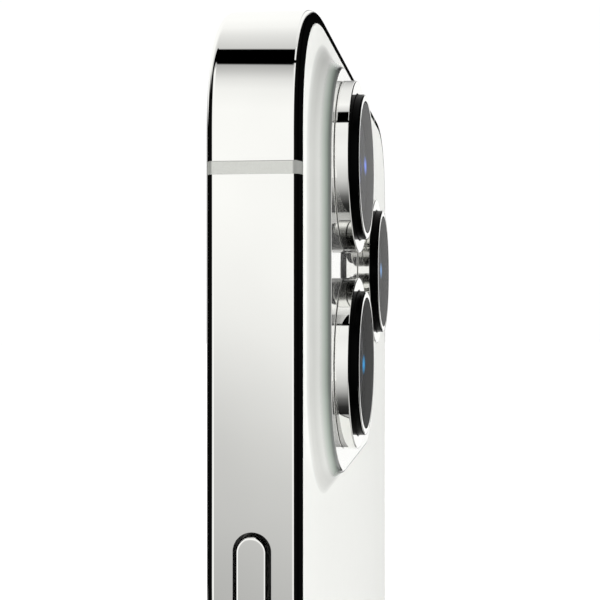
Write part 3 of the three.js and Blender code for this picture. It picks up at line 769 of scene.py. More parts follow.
def frame_length(name, stations, material, sunk=0.0):
    """One length of the band, swept through its stations and closed at both ends."""
    solid = Solid()
    section = [(inset + sunk, depth) for inset, depth in frame_section()]
    solid.prism(*[
        [station_point(station, inset, depth) for inset, depth in section] for station in stations
    ])
    return solid.object(name, [material])


def side_station(side, z):
    return (side * MIDDLE_X, z, side, 0.0)


def end_station(end, x):
    return (x, HIGH_Z if end > 0 else LOW_Z, 0.0, end)


ABOVE, BELOW = HIGH_BREAK + BREAK_HALF, HIGH_BREAK - BREAK_HALF
LOW_ABOVE, LOW_BELOW = LOW_BREAK + BREAK_HALF, LOW_BREAK - BREAK_HALF
EDGE_RIGHT, EDGE_LEFT = EDGE_BREAK_X + BREAK_HALF, EDGE_BREAK_X - BREAK_HALF


def corner_length(side, end):
    """The stations from the break in one side, round a corner, to the break in the end."""
    z = ABOVE if end > 0 else LOW_BELOW
    x = EDGE_RIGHT if side > 0 else EDGE_LEFT
    return [side_station(side, z), *corner_stations(side, end), end_station(end, x)]


LENGTHS = {
    "frame_right_rail": [side_station(1, LOW_ABOVE), side_station(1, BELOW)],
    "frame_left_rail": [side_station(-1, LOW_ABOVE), side_station(-1, BELOW)],
    "frame_top_right": corner_length(1, 1),
    "frame_top_left": corner_length(-1, 1),
    "frame_bottom_right": corner_length(1, -1),
    "frame_bottom_left": corner_length(-1, -1),
}
BREAKS = {
    "antenna_break_right_top": [side_station(1, BELOW), side_station(1, ABOVE)],
    "antenna_break_right_bottom": [side_station(1, LOW_BELOW), side_station(1, LOW_ABOVE)],
    "antenna_break_left_top": [side_station(-1, BELOW), side_station(-1, ABOVE)],
    "antenna_break_left_bottom": [side_station(-1, LOW_BELOW), side_station(-1, LOW_ABOVE)],
    "antenna_break_top": [end_station(1, EDGE_LEFT), end_station(1, EDGE_RIGHT)],
    "antenna_break_bottom": [end_station(-1, EDGE_LEFT), end_station(-1, EDGE_RIGHT)],
}
BREAK_SUNK = 0.015

# how far a button's flange is wider and longer than its cap, on each side
FLANGE_WIDER, FLANGE_LONGER = 0.8, 0.9
CLEAR = 1.0  # how far a cutter reaches past the wall that it cuts
CUT_STEPS = 40

# side openings: the middle's z, the length and the width
RING_SLOT = (HEIGHT - 29.6, 7.0, 2.8)
SIM_SLOT = (63.0, 15.6, 1.9)
SOCKET = {"width": 8.3, "height": 2.7, "wall": 0.35, "depth": 6.8, "mouth": 0.25, "gap": 0.2}
SCREW_X = 6.9
SCREW_HOLE = 0.95
GRILLE_RADIUS = 0.72
GRILLE_START, GRILLE_PITCH = 10.8, 2.5
GRILLE_HOLES = [GRILLE_START + GRILLE_PITCH * index for index in range(6)]
MICROPHONE_HOLES = [-GRILLE_START - GRILLE_PITCH * index for index in range(3)]
EDGE_BREAKING = 0.06


def slot_of(button):
    """The (z, length) of the opening round a button, from its CAD box, which has the flange."""
    low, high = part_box(button)
    return (low.z + high.z) / 2 / MM, (high.z - low.z) / MM - 2 * FLANGE_LONGER + 2 * CAP_GAP


def side_cutter(side, z, length, width=SLOT_WIDTH):
    shape = pill(width, length, (MID_DEPTH, z), 20)
    solid = Solid()
    solid.prism(*[
        facing_side(shape, side * (WIDTH / 2 + reach)) for reach in (CLEAR, -FRAME_WALL - CLEAR)
    ])
    return solid


def bottom_cutter(shape):
    solid = Solid()
    solid.prism(*[facing_down(shape, z) for z in (-CLEAR, FRAME_WALL + CLEAR)])
    return solid


def make_frame():
    left = [slot_of("volume_up_button"), slot_of("volume_down_button"), RING_SLOT, SIM_SLOT]
    margin = 2 * (SOCKET["wall"] + SOCKET["gap"])
    mouth = pill(SOCKET["width"] + margin, SOCKET["height"] + margin, (0, MID_DEPTH), 20)
    holes = [(SCREW_HOLE, side * SCREW_X) for side in (-1, 1)]
    holes += [(GRILLE_RADIUS, x) for x in GRILLE_HOLES + MICROPHONE_HOLES]
    rounds = [circle(radius, (x, MID_DEPTH), CUT_STEPS) for radius, x in holes]
    cuts = {
        "frame_right_rail": [side_cutter(1, *slot_of("side_button"))],
        "frame_left_rail": [side_cutter(-1, *slot) for slot in left],
        "frame_bottom_right": [bottom_cutter(shape) for shape in (mouth, *rounds)],
    }
    for name, stations in LENGTHS.items():
        length = frame_length(name, stations, FRAME_STEEL)
        carve(length, cuts.get(name, []), EDGE_BREAKING, SLOT_WALL_PAINTED_SHADE)
        settle(length, name)
    for name, stations in BREAKS.items():
        settle(frame_length(name, stations, PLASTIC_BREAK, BREAK_SUNK), name)


make_frame()

# ---------------------------------------------------------------- rear glass and camera plateau

REAR_GLASS_ROUND = 0.14
FLANK_FOOT = 1.6  # the flank starts this far outside the CAD plateau's outline
FLANK_ANGLE = 62.0
FOOT_RADIUS = 1.807
RIM_RADIUS = 0.35
FLASH_RADIUS = 3.1
WINDOW_RADIUS = 3.6
WINDOW_FIT = 0.12
HOLE_CHAMFER = 0.06
HOLES = [(7.03, (lens.x, lens.z), 96) for lens in LENSES.values()] + [
    (FLASH_RADIUS + WINDOW_FIT, (FLASH.x, FLASH.z), 64),
    (WINDOW_RADIUS + WINDOW_FIT, (DEPTH_WINDOW.x, DEPTH_WINDOW.z), 64),
    (0.45, REAR_MICROPHONE, 32),
]


def flank_profile():
    """(margin, depth) up the plateau's flank: a wide concave foot, a short straight and a small
    round rim. The margin is measured inwards from the CAD plateau's outline."""
    foot = arc((-FLANK_FOOT, FOOT_RADIUS), FOOT_RADIUS, -90, -90 + FLANK_ANGLE, 18)
    rim_centre_depth = PLATEAU_RISE - RIM_RADIUS
    turn = math.radians(FLANK_ANGLE)
    straight = (rim_centre_depth + RIM_RADIUS * math.cos(turn) - foot[-1][1]) / math.sin(turn)
    start = foot[-1][0] + straight * math.cos(turn)
    rim_centre = (start + RIM_RADIUS * math.sin(turn), rim_centre_depth)
    rim = arc(rim_centre, RIM_RADIUS, 90 + FLANK_ANGLE, 90, 8)
    middle_point = ((foot[-1][0] + rim[0][0]) / 2, (foot[-1][1] + rim[0][1]) / 2)
    return [*foot, middle_point, *rim, (rim[-1][0] + STRIP, PLATEAU_RISE)]


def plateau_loop(margin, depth, radius=None):
    width, height = (size - 2 * margin for size in PLATEAU_SIZE)
    corner = PLATEAU_RADIUS - margin if radius is None else radius
    return facing_rear(rounded_rectangle(width, height, corner, (PLATEAU_X, PLATEAU_Z), 24), depth)


def make_rear_glass():
    solid = Solid()
    edge = REAR_GLASS_ROUND
    bottom, top = solid.loft([
        outline(REAR_GLASS_INSET, -GLASS_THICKNESS),
        *[outline(*point) for point in arc((REAR_GLASS_INSET + edge, -edge), edge, 180, 90, 5)],
    ])
    foot, rim = solid.loft([plateau_loop(*point) for point in flank_profile()])
    solid.fill([top, foot])

    pocket_depth = PLATEAU_RISE - PLATEAU_SHELL
    upper, lower = [], []
    for radius, centre, steps in HOLES:
        first, last = solid.loft([
            facing_rear(circle(radius + HOLE_CHAMFER, centre, steps), PLATEAU_RISE),
            facing_rear(circle(radius, centre, steps), PLATEAU_RISE - HOLE_CHAMFER),
            facing_rear(circle(radius, centre, steps), pocket_depth),
        ])
        upper.append(first)
        lower.append(last)
    solid.fill([rim, *upper])
    pocket_top, pocket_mouth = solid.loft([
        plateau_loop(POCKET_MARGIN, depth, POCKET_RADIUS)
        for depth in (pocket_depth, -GLASS_THICKNESS)
    ])
    solid.fill([pocket_top, *lower])
    solid.fill([bottom, pocket_mouth])
    solid.piece("rear_glass", [REAR_GLASS], "white_rear_glass")


make_rear_glass()

# ---------------------------------------------------------------- front glass and display

FRONT_GLASS_ROUND = 0.28
EARPIECE_Z = HEIGHT - 3.1
SLIT_SIZE = (9.4, 0.9)
SLIT_CHAMFER = 0.08
GRILLE_SHAPE = [(-0.15, -7.1), (-0.15, -7.34), (-0.25, -7.4)]  # (margin, depth)
SEAL_WIDTH, SEAL_FRONT, SEAL_CROWN = 0.14, -7.4, 0.05
SEAL_GAP = {"glass": 0.03, "shelf": 0.02}
BORDER = 3.3  # from the phone's edge to the picture area
NOTCH = {"half_width": 13.4, "depth": 3.6, "radius": 2.2, "lip": 1.1}


def display_loop(depth):
    """The picture area's outline, with the sensor bar cut into its top edge."""
    points = outline(BORDER, depth)
    top = HEIGHT - BORDER
    split = next(index for index, (x, _, _) in enumerate(points) if x < 0)
    half, drop, radius, lip = NOTCH.values()
    right = arc((half + lip, top - lip), lip, 90, 180, 6)
    right += arc((half - radius, top - drop + radius), radius, 0, -90, 10)
    left = [(-x, z) for x, z in reversed(right)]
    return points[:split] + facing_rear(right + left, depth) + points[split:]


def slit_loop(margin, depth):
    """The earpiece slit's outline, grown by a margin."""
    width, height = (size + 2 * margin for size in SLIT_SIZE)
    return facing_rear(pill(width, height, (0, EARPIECE_Z), 12), depth)


def make_front():
    solid = Solid()
    front = -THICKNESS
    edge = FRONT_GLASS_ROUND
    rounded = arc((FRONT_GLASS_INSET + edge, front + edge), edge, 180, 270, 8)
    rear, face = solid.loft([
        outline(FRONT_GLASS_INSET, front + GLASS_THICKNESS),
        *[outline(*point) for point in rounded],
    ])
    slit_front, slit_rear = solid.loft([
        slit_loop(SLIT_CHAMFER, front),
        slit_loop(0.0, front + SLIT_CHAMFER),
        slit_loop(0.0, front + GLASS_THICKNESS),
    ])
    picture = solid.loop(display_loop(front))
    solid.fill([face, picture, slit_front])
    solid.cap(picture, 1)
    solid.fill([rear, slit_rear])
    solid.piece("front_glass", [FRONT_BORDER, DISPLAY], "cover_glass")

    grille = Solid()
    grille.prism(*[slit_loop(*point) for point in GRILLE_SHAPE])
    grille.piece("earpiece_grille", [GRILLE], "black_plastic")

    seal = Solid()
    inner = FRONT_GLASS_INSET - SEAL_GAP["glass"]
    outer = inner - SEAL_WIDTH
    high = FRONT_SHELF - SEAL_GAP["shelf"]
    shoulder = SEAL_FRONT + SEAL_CROWN
    section = [
        (outer, high),
        (outer, shoulder),
        ((inner + outer) / 2, SEAL_FRONT),
        (inner, shoulder),
        (inner, high),
    ]
    first, last = seal.loft([outline(*point) for point in section])
    seal.bridge(last, first)
    seal.piece("display_gasket", [SEAL], "black_plastic")


make_front()

# ---------------------------------------------------------------- rear camera

LENS_STEPS = 128
BARREL_STEPS = 96
BEZEL_GROOVES = {"count": 4, "first": 2.55, "pitch": 0.36, "relief": 0.12}
BARREL_RIBS = {"count": 6, "first": -2.6, "pitch": 0.5, "relief": 0.1}
BAFFLES = {"count": 4, "fall": 0.22, "land": 0.4}
DOME_SHARES = (0.94, 0.86, 0.76, 0.64, 0.5, 0.36, 0.22, 0.1)


def rounded_top(radius, top, rim):
    """The outer edge of a lens part: the top of its wall, then the round."""
    return [(radius, top - rim - STRIP), *arc((radius - rim, top - rim), rim, 0, 90, 8)]


def make_ring(name, centre):
    """The polished ring, with a neck that passes through the rear glass."""
    outer, inner, top, seat = (RING[key] for key in ("outer", "inner", "top", "seat"))
    rim, foot, lip = 0.1, 0.04, 0.05
    profile = [
        (inner, RING["bottom"]),
        (RING["neck"], RING["bottom"]),
        (RING["neck"], seat),
        (outer - foot, seat),
        (outer, seat + foot),
        *rounded_top(outer, top, rim),
        (outer - rim - STRIP, top),
        (inner + lip, top),
        (inner, top - lip),
    ]
    # the upper and lower rings take the steel with painted shade where they face each other
    steel = STEEL if name == "far" else RING_STEEL
    solid = lathe(profile, centre, LENS_STEPS)
    solid.piece(f"lens_ring_{name}", [steel], "polished_steel", sharp=40)


def make_bezel(name, centre):
    """The black bezel, with turned grooves inside and a bright top edge."""
    outer, inner, top, seat = (BEZEL[key] for key in ("outer", "inner", "top", "seat"))
    lip = COVER["radius"] + 0.08
    grooves = []
    for index in range(BEZEL_GROOVES["count"]):
        depth = BEZEL_GROOVES["first"] - index * BEZEL_GROOVES["pitch"]
        cut = inner - BEZEL_GROOVES["relief"]
        grooves += [(inner, depth), (cut, depth - 0.1), (cut, depth - 0.2), (inner, depth - 0.3)]
    profile = [
        (inner, BEZEL["bottom"]),
        (outer, BEZEL["bottom"]),
        *rounded_top(outer, top, 0.16),
        (lip, top),
        (lip, seat),
        (inner, seat),
        *grooves,
    ]
    solid = lathe(profile, centre, LENS_STEPS)
    solid.paint(lambda at: at.y > REAR_Y + top - BEZEL["bright"])
    solid.piece(f"lens_bezel_{name}", [BLACK_METAL, STEEL], "black_anodised", sharp=40)


def make_cover(name, centre):
    """The clear cover. All of it but its top has the inner face's coating."""
    radius, low, high = COVER["radius"], COVER["low"], COVER["high"]
    edge = 0.03
    profile = [
        (0, low),
        (radius - edge, low),
        (radius, low + edge),
        *arc((radius - edge, high - edge), edge, 0, 90, 4),
        (radius - edge - STRIP, high),
        (0, high),
    ]
    solid = lathe(profile, centre, LENS_STEPS)
    solid.paint(lambda at: at.y < REAR_Y + high - 0.001)
    solid.piece(f"lens_cover_{name}", [COVER_GLASS[name], INNER_FACE], "lens_glass", sharp=50)


def make_barrel(name, centre):
    """A barrel with stepped baffles round a domed, coated front lens."""
    radius, bottom, top, apex = BARREL.values()
    opening = LENS_OPENINGS[name]
    edge = 0.1
    profile = [(0, bottom), (radius - edge, bottom), (radius, bottom + edge)]
    for index in range(BARREL_RIBS["count"]):
        depth = BARREL_RIBS["first"] + index * BARREL_RIBS["pitch"]
        cut = radius - BARREL_RIBS["relief"]
        profile += [(radius, depth), (cut, depth + 0.12), (cut, depth + 0.24)]
        profile.append((radius, depth + 0.36))
    profile += [(radius, top - 0.08), (radius - 0.08, top)]

    fall, outside = BAFFLES["fall"], radius - BAFFLES["land"]
    width = (outside - opening) / BAFFLES["count"]
    for index in range(BAFFLES["count"]):
        across, depth = outside - index * width, top - index * fall
        profile += [(across, depth), (across - 0.05, depth - 0.2)]
        profile.append((across - width + 0.04, depth - fall))

    low = top - 1.0
    rise = apex - low
    dome_radius = (opening ** 2 + rise ** 2) / (2 * rise)
    profile.append((opening, low))
    for share in DOME_SHARES:
        across = opening * share
        profile.append((across, apex - dome_radius + math.sqrt(dome_radius ** 2 - across ** 2)))
    solid = lathe([*profile, (0, apex)], centre, BARREL_STEPS)
    solid.paint(lambda at: at.y > REAR_Y and math.dist((at.x, at.z), centre) < opening)
    finishes = [BLACK, COATINGS[name]]
    solid.piece(f"lens_barrel_{name}", finishes, "black_plastic", f"focus_carrier_{name}", 35)


for lens_name, lens_place in LENSES.items():
    for make in (make_ring, make_bezel, make_cover, make_barrel):
        make(lens_name, (lens_place.x, lens_place.z))


def make_windows():
    """The flash's cover with its moulded rings, the depth sensor's window, and the microphone."""
    high = PLATEAU_RISE
    low = high - 0.75
    profile = [(0, low), (FLASH_RADIUS, low), (FLASH_RADIUS, high - 0.05)]
    profile.append((FLASH_RADIUS - 0.05, high))
    for index in range(7):
        radius = 2.6 - index * 0.34
        profile += [(radius, high), (radius - 0.05, high - 0.09), (radius - 0.29, high - 0.01)]
    flash = lathe([*profile, (0, high - 0.01)], (FLASH.x, FLASH.z), 64)
    flash.piece("flash_lens", [FLASH_GLASS], "flash_diffuser", sharp=30)

    groove = high - 0.02
    profile = [(0, low), (WINDOW_RADIUS, low), (WINDOW_RADIUS, high - 0.08)]
    profile += [(WINDOW_RADIUS - 0.08, high), (2.2, high), (2.15, groove), (2.0, groove)]
    window = lathe([*profile, (1.95, high), (0, high)], (DEPTH_WINDOW.x, DEPTH_WINDOW.z), 64)
    window.piece("depth_sensor_window", [SENSOR_GLASS], "sensor_window", sharp=30)

    mesh = lathe([(0, 0.9), (0.42, 0.9), (0.42, 1.18), (0.38, 1.2), (0, 1.2)], REAR_MICROPHONE, 32)
    mesh.piece("rear_microphone_mesh", [GRILLE], "black_plastic")


make_windows()

# ---------------------------------------------------------------- side controls

CAP_FILLET = 0.12
CAP_CROWN = (0.08, 0.012)  # a shallow slope inside the fillet: its width and its fall
WALL_INSIDE = WIDTH / 2 - FRAME_WALL
FLANGE = (WALL_INSIDE - 0.7, WALL_INSIDE - 0.1)
FLANGE_RADIUS = 0.6
FLANGE_CHAMFER = 0.08
LEVER_SIZE = (1.4, 4.6)
LEVER_FILLET = 0.12
PLATE_SIZE = (3.5, 8.4)
PLATE = (-WALL_INSIDE + 0.1, -WALL_INSIDE + 0.6)
PLATE_CHAMFER = 0.05
TRAY_HEAD = (1.5, 15.2)
TRAY_FILLET = 0.08
TRAY_HEAD_DEPTH, TRAY_DEPTH = 1.5, 20.0
BLADE_HALF = (0.55, 6.7)
CARD = {"size": (12.4, 8.9), "radius": 0.8, "from_face": 9.9}
PIN_HOLE = {"radius": 0.4, "from_end": 1.9, "depth": 1.4}


def make_button(name, side):
    """A cap with rounded rim, on the flange that keeps it behind the frame's wall."""
    z, slot_length = slot_of(name)
    length = slot_length - 2 * CAP_GAP

    def cap_loop(margin, x):
        shape = pill(CAP_WIDTH - 2 * margin, length - 2 * margin, (MID_DEPTH, z), 24)
        return facing_side(shape, side * x)

    def flange_loop(margin, x):
        width = CAP_WIDTH + 2 * (FLANGE_WIDER - margin)
        height = length + 2 * (FLANGE_LONGER - margin)
        shape = rounded_rectangle(width, height, FLANGE_RADIUS - margin, (MID_DEPTH, z), 24)
        return facing_side(shape, side * x)

    slope, fall = CAP_CROWN
    face = WIDTH / 2 + CAP_RISE
    below = face - fall - CAP_FILLET
    solid = Solid()
    solid.prism(
        flange_loop(FLANGE_CHAMFER, FLANGE[0]),
        flange_loop(0.0, FLANGE[0] + FLANGE_CHAMFER),
        flange_loop(0.0, FLANGE[1]),
        cap_loop(0.0, FLANGE[1]),
        cap_loop(0.0, below - 0.05),
        *[cap_loop(*point) for point in arc((CAP_FILLET, below), CAP_FILLET, 180, 98, 7)],
        cap_loop(CAP_FILLET + slope, face),
        cap_loop(CAP_FILLET + slope + 0.02, face),
    )
    solid.piece(name, [STEEL], "polished_steel", name)


make_button("side_button", 1)
make_button("volume_up_button", -1)
make_button("volume_down_button", -1)


def make_ring_switch():
    """A lever on a sliding plate; the plate shows a coloured mark beside the lever."""
    place = middle("ring_switch")
    centre = (place.y - REAR_Y, place.z)
    face = -WIDTH / 2 - CAP_RISE

    def lever_loop(margin, x):
        width, height = (size - 2 * margin for size in LEVER_SIZE)
        radius = LEVER_SIZE[0] / 2 - margin - 1e-3
        return facing_side(rounded_rectangle(width, height, radius, centre, 12), x)

    def plate_loop(margin, x):
        width, height = (size - 2 * margin for size in PLATE_SIZE)
        return facing_side(rounded_rectangle(width, height, 0.4, centre, 12), x)

    solid = Solid()
    first, last = solid.loft([
        plate_loop(0.0, PLATE[1]),
        plate_loop(0.0, PLATE[0] + PLATE_CHAMFER),
        plate_loop(PLATE_CHAMFER, PLATE[0]),
    ])
    solid.cap(first)
    rounded = arc((LEVER_FILLET, LEVER_FILLET), LEVER_FILLET, 180, 270, 5)
    base, tip = solid.loft([
        lever_loop(0.0, PLATE[0]),
        *[lever_loop(margin, face + rise) for margin, rise in rounded],
    ])
    solid.fill([last, base], 1)
    solid.cap(tip)
    solid.piece("ring_switch", [STEEL, SIGNAL], "polished_steel", "ring_switch")


make_ring_switch()


def make_sim_tray():
    """The tray's head, flush with the frame, and its blade with the opening for the card."""
    z = SIM_SLOT[0]
    outside = -WIDTH / 2
    behind = outside + TRAY_HEAD_DEPTH
    solid = Solid()

    def head_loop(margin, x):
        width, length = (size - 2 * margin for size in TRAY_HEAD)
        return facing_side(pill(width, length, (MID_DEPTH, z), 20), x)

    fillet = arc((TRAY_FILLET, TRAY_FILLET), TRAY_FILLET, 270, 180, 4)
    first, last = solid.loft([
        *[head_loop(margin, outside + rise) for margin, rise in fillet],
        head_loop(0.0, behind),
    ])
    solid.cap(first)
    signs = ((-1, -1), (1, -1), (1, 1), (-1, 1))
    blade = [(MID_DEPTH + y * BLADE_HALF[0], z + up * BLADE_HALF[1]) for y, up in signs]
    near, far = solid.loft([facing_side(blade, x) for x in (behind, outside + TRAY_DEPTH)])
    solid.fill([last, near])
    solid.cap(far)
    tray = solid.object("sim_tray", [STEEL])

    card, pin = Solid(), Solid()
    window = rounded_rectangle(*CARD["size"], CARD["radius"], (outside + CARD["from_face"], z), 6)
    card.prism(*[facing_rear(window, MID_DEPTH + reach) for reach in (-2, 2)])
    pin_z = z - TRAY_HEAD[1] / 2 + PIN_HOLE["from_end"]
    hole = circle(PIN_HOLE["radius"], (MID_DEPTH, pin_z), 32)
    pin.prism(*[facing_side(hole, outside + reach) for reach in (-CLEAR, PIN_HOLE["depth"])])
    carve(tray, [card, pin], 0.04, STEEL)
    settle(tray, "sim_tray", "sim_tray")


make_sim_tray()

# ---------------------------------------------------------------- bottom edge

CONTACTS = {"count": 8, "pitch": 0.78, "size": (0.42, 3.4), "from_mouth": 4.2, "radius": 0.12}
CONTACT_DROPS = (0.002, 0.16)  # from the socket's wall to a contact's two faces
SCREW = {"radius": 0.85, "head": 0.225, "end": 4.825, "round": 0.18, "drive": 0.42}
SCREEN_WIDTH = 1.9
SCREEN_GAP, SCREEN_THICKNESS = 0.02, 0.2


def make_socket():
    """The charging socket's shell, with its eight contacts."""
    width, height, wall = SOCKET["width"], SOCKET["height"], SOCKET["wall"]
    mouth, depth = SOCKET["mouth"], SOCKET["depth"]

    def shell_loop(grow, z):
        return facing_down(pill(width + 2 * grow, height + 2 * grow, (0, MID_DEPTH), 24), z)

    shell = Solid()
    shell.prism(
        shell_loop(wall, depth + wall),
        shell_loop(wall, mouth + 0.1),
        shell_loop(wall - 0.1, mouth),
        shell_loop(0.06, mouth),
        shell_loop(0.0, mouth + 0.06),
        shell_loop(0.0, depth),
    )
    shell.piece("charging_socket", [SOCKET_STEEL], "socket_metal")

    contacts = Solid()
    for index in range(CONTACTS["count"]):
        x = (index - (CONTACTS["count"] - 1) / 2) * CONTACTS["pitch"]
        centre = (x, mouth + CONTACTS["from_mouth"])
        pad = rounded_rectangle(*CONTACTS["size"], CONTACTS["radius"], centre, 4)
        surface = MID_DEPTH + height / 2
        contacts.prism(*[facing_rear(pad, surface - drop) for drop in CONTACT_DROPS])
    contacts.piece("socket_contacts", [CONTACT], "socket_metal")


make_socket()


def five_lobe(radius, lobe, centre, steps=60):
    points = []
    for step in range(steps):
        angle = TAU * step / steps
        reach = radius + lobe * math.cos(5 * angle)
        points.append((centre[0] + reach * math.cos(angle), centre[1] + reach * math.sin(angle)))
    return points


def make_screw(name, side):
    """A small pan-headed screw with a five-lobed drive."""
    centre = (side * SCREW_X, MID_DEPTH)
    radius, head, end, rounding, drive = SCREW.values()
    crown = arc((radius - rounding, head + rounding), rounding, 0, -90, 6)
    solid = Solid()
    first, last = solid.loft([
        facing_down(circle(across, centre, 60), z) for across, z in [(radius, end), *crown]
    ])
    solid.cap(first)
    mouth, bottom = solid.loft([
        facing_down(five_lobe(0.36, 0.09, centre), head),
        facing_down(five_lobe(0.33, 0.08, centre), head + drive),
    ])
    solid.fill([last, mouth])
    solid.cap(bottom)
    solid.piece(name, [SCREW_STEEL], "polished_steel")


make_screw("bottom_screw_left", -1)
make_screw("bottom_screw_right", 1)


def make_grille_screens():
    """The acoustic mesh behind the loudspeaker's and the microphone's holes."""
    for name, holes in (("speaker_mesh", GRILLE_HOLES), ("microphone_mesh", MICROPHONE_HOLES)):
        low, high = min(holes), max(holes)
        centre = ((low + high) / 2, MID_DEPTH)
        strip = pill(high - low + SCREEN_WIDTH, SCREEN_WIDTH, centre, 12)
        near = FRAME_WALL + SCREEN_GAP
        solid = Solid()
        solid.prism(*[facing_down(strip, z) for z in (near, near + SCREEN_THICKNESS)])
        solid.piece(name, [GRILLE], "black_plastic")


make_grille_screens()

# ---------------------------------------------------------------- studio

# Light at angles round the Y axis, in degrees: 0 is the +X side and 90 is overhead. The first
# list is what the frame mirrors, and the second what the lens rings mirror.
FRAME_LIGHT = [
    (-180, 0.20), (-172, 0.12), (-160, 0.50), (-112, 0.40), (-57.5, 0.26),
    (-56.5, 0.05), (-49, 0.07), (-40, 0.20), (-31, 0.33), (-24, 0.41), (-17, 0.52),
    (-13, 0.60), (-9.4, 0.66), (-7, 0.73), (-4.6, 0.82), (-2.1, 0.90), (0.3, 0.956),
    (2.8, 1.0), (5, 1.04), (20, 1.04), (32.5, 0.97), (39.8, 0.83), (46.6, 0.60),
    (52.4, 0.46), (53.2, 0.0), (69.2, 0.0), (70.0, 0.66), (89, 0.85), (103, 1.02),
    (121, 1.08), (160, 1.03), (180, 0.20),
]
RING_LIGHT = [
    (-180, 0.95), (-160, 0.60), (-150, 0.22), (-138, 0.35), (-118, 0.48), (-77, 0.50),
    (-69, 0.42), (-68, 0.01), (-56, 0.03), (-45, 0.15), (-35, 0.42), (-24, 0.66),
    (-14, 0.78), (-3, 0.90), (8, 0.98), (19, 0.99), (36, 0.93), (52.4, 0.99),
    (53.2, 0.0), (69.2, 0.0), (70, 0.70), (82, 1.05), (92, 0.96), (112, 0.91),
    (122, 0.82), (133, 0.68), (143, 0.56), (153, 0.32), (160, 0.30), (168, 0.95),
]
SOURCE_LIGHT = 1.04
SLIVER_LIGHT = 1.0
SIDE_LIGHT = 0.75
FLOOR_LIGHT = 0.70
NO_LIGHT = 0.003


class Studio(Tree):
    """The world's tree, with masks from 0 to 1 and a light that is built up in layers."""

    def window(self, value, low, high, soft):
        """1 between low and high, falling to 0 over soft at each side."""
        rise = self.math("DIVIDE", self.math("SUBTRACT", value, low - soft), soft, clamp=True)
        fall = self.math("DIVIDE", self.math("SUBTRACT", high + soft, value), soft, clamp=True)
        return self.product(rise, fall)

    def past(self, value, start, soft):
        """0 below start, rising to 1 over soft."""
        return self.math("DIVIDE", self.math("SUBTRACT", value, start), soft, clamp=True)

    def either(self, first, second):
        return self.math("MAXIMUM", first, second)

    def outside(self, mask):
        return self.math("SUBTRACT", 1.0, mask)

    def blend(self, factor, first, second):
        under = self.product(first, self.outside(factor))
        return self.math("ADD", under, self.product(second, factor))

    def round_axis(self, angle, stops):
        """The light of a list of (degrees, level) at an angle."""
        share = self.math("DIVIDE", self.math("ADD", angle, 180.0), 360.0)
        return self.ramp(share, [((at + 180) / 360, (level,) * 3) for at, level in stops])


def make_world():
    """A studio as the polished steel sees it. Round the Y axis it runs from the floor on the +X
    side, up a broad soft source, over a dark gap, to a soft source overhead. It is dark towards
    the screen and the rear glass, so that the frame's edges read as dark lines."""
    world = bpy.data.worlds.new("studio")
    bpy.context.scene.world = world
    w = Studio(world)
    window, past, either, outside = w.window, w.past, w.either, w.outside

    split = w.add("ShaderNodeSeparateXYZ")
    w.link(w.add("ShaderNodeTexCoord").outputs["Generated"], split.inputs[0])
    x, y, z = split.outputs
    toward_left, toward_front, toward_floor = (w.product(value, -1.0) for value in (x, y, z))
    turn = w.math("DEGREES", w.math("ARCTAN2", z, x))
    lean = w.math("MINIMUM", w.math("ADD", y, 0.22), 0.2)
    lean = w.product(w.math("MAXIMUM", lean, -0.2), 29.0)
    leaning = w.math("ADD", turn, w.product(lean, window(turn, -90.0, 90.0, 20.0)))
    light = w.round_axis(leaning, FRAME_LIGHT)

    at_rings = either(window(y, -0.148, -0.105, 0.006), window(y, 0.095, 0.16, 0.006))
    light = w.blend(at_rings, light, w.round_axis(turn, RING_LIGHT))

    beside = window(turn, -20.0, 52.4, 0.6)
    strips = either(window(y, -0.60, -0.36, 0.03), window(y, -0.03, 0.15, 0.01))
    light = w.blend(w.product(strips, beside), light, SOURCE_LIGHT)
    gap_sliver = w.product(window(turn, 56.0, 70.0, 0.5), window(y, -0.06, 0.12, 0.03))
    light = w.blend(gap_sliver, light, SLIVER_LIGHT)
    behind = either(w.math("GREATER_THAN", turn, 165.0), w.math("LESS_THAN", turn, -150.0))
    light = w.blend(w.product(behind, window(y, 0.075, 0.165, 0.006)), light, SOURCE_LIGHT)

    front_left = w.product(past(toward_left, 0.30, 0.1), past(toward_front, 0.20, 0.05))
    front_left = w.product(front_left, outside(past(z, 0.16, 0.10)))
    light = w.blend(front_left, light, SIDE_LIGHT)
    edge_bands = [window(toward_front, *band, 0.03) for band in ((0.21, 0.58), (0.76, 0.98))]
    front_screen = w.product(
        either(*edge_bands), window(z, -0.27, 0.19, 0.05), past(toward_left, 0.1, 0.05),
    )
    light = w.blend(front_screen, light, NO_LIGHT)

    overhead = w.product(window(turn, 70.0, 165.0, 2.0), outside(past(toward_front, 0.85, 0.08)))
    front_dark = w.product(past(toward_front, 0.62, 0.04), past(x, -0.35, 0.1), outside(overhead))
    light = w.blend(either(front_dark, past(y, 0.16, 0.01)), light, NO_LIGHT)
    beyond = either(past(toward_front, 0.45, 0.1), past(y, 0.20, 0.1))
    light = w.blend(w.product(past(toward_floor, 0.295, 0.12), beyond), light, FLOOR_LIGHT)

    background = w.add("ShaderNodeBackground")
    background.inputs["Color"].default_value = (1.0, 1.0, 0.99, 1)
    w.link(light, background.inputs["Strength"])
    w.link(background.outputs[0], w.add("ShaderNodeOutputWorld").inputs["Surface"])


make_world()


def stage_piece(name, material, unseen, build, **sizes):
    """Something round the phone that isn't part of it, and that some rays don't see."""
    mesh = bpy.data.meshes.new(name)
    bm = bmesh.new()
    build(bm, **sizes)
    bm.to_mesh(mesh)
    bm.free()
    mesh.materials.append(material)
    made = bpy.data.objects.new(name, mesh)
    for ray in unseen:
        setattr(made, f"visible_{ray}", False)
    bpy.context.scene.collection.objects.link(made)


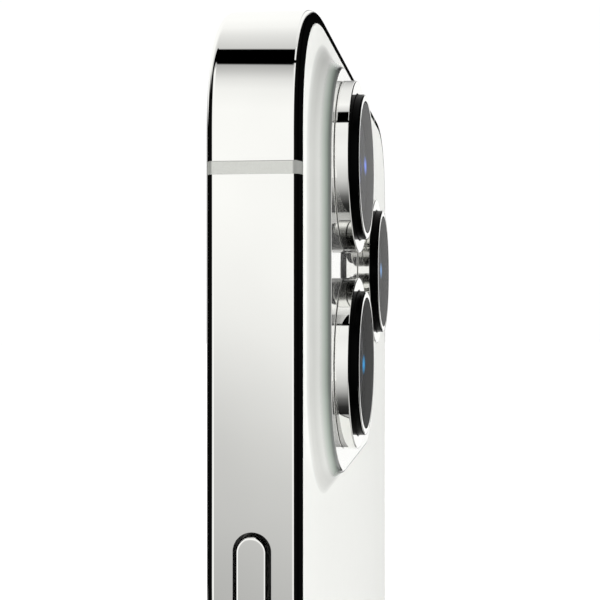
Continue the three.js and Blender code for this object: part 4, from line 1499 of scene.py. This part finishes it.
def make_stage():
    """A pale floor that takes the phone's shadow, and a white surround only for the camera."""
    pale = studio_white("pale_floor", (0.86, 0.86, 0.855, 1), 0.45, 1.0)
    disc = {"cap_ends": True, "segments": 96, "radius": 3.0}
    stage_piece("studio_floor", pale, ["glossy"], bmesh.ops.create_circle, **disc)
    white = studio_white("white_surround", (0, 0, 0, 1), 1.02, 1.02)
    sphere = {"u_segments": 64, "v_segments": 32, "radius": 3.5}
    all_but_camera = ["diffuse", "glossy", "transmission", "volume_scatter", "shadow"]
    stage_piece("studio_surround", white, all_but_camera, bmesh.ops.create_uvsphere, **sphere)


make_stage()


def soft_light(name, place, target, size, power):
    """A large soft source. The steel doesn't mirror it: the studio's own gradient does that."""
    data = bpy.data.lights.new(name, "AREA")
    data.shape = "RECTANGLE"
    data.size = data.size_y = size
    data.energy = power
    light = bpy.data.objects.new(name, data)
    light.location = place
    light.rotation_euler = (Vector(target) - Vector(place)).to_track_quat("-Z", "Y").to_euler()
    light.visible_glossy = False
    light.visible_camera = False
    bpy.context.scene.collection.objects.link(light)


soft_light("rear_fill", (0.25, 0.95, 0.45), (0, 0, 0.09), 0.7, 5.2)
soft_light("front_fill", (-0.1, -1.0, 0.5), (0, 0, 0.09), 0.7, 5.0)
soft_light("overhead", (0.0, 0.0, 1.3), (0, 0, 0), 1.2, 5.0)

CAMERA_PLACE = (0.10935, 0.01512, 0.12142)
CAMERA_TURN = math.radians(5)
CAMERA_LENS = 58.61
CAMERA_SHIFT = (-0.147, 0.0083)


def make_camera():
    """Beside the side button at lens height, 74 mm from the frame and 5 degrees to the rear. It
    is shifted sideways so that the frame's side stays nearly square to the lens."""
    data = bpy.data.cameras.new("camera")
    data.sensor_width = 36.0
    data.lens = CAMERA_LENS
    data.shift_x, data.shift_y = CAMERA_SHIFT
    data.clip_start = 0.005
    data.clip_end = 20.0
    camera = bpy.data.objects.new("camera", data)
    camera.location = CAMERA_PLACE
    forward = Vector((-math.cos(CAMERA_TURN), -math.sin(CAMERA_TURN), 0))
    camera.rotation_euler = forward.to_track_quat("-Z", "Y").to_euler()
    bpy.context.scene.collection.objects.link(camera)
    bpy.context.scene.camera = camera


make_camera()
bpy.context.scene.view_settings.view_transform = "Standard"
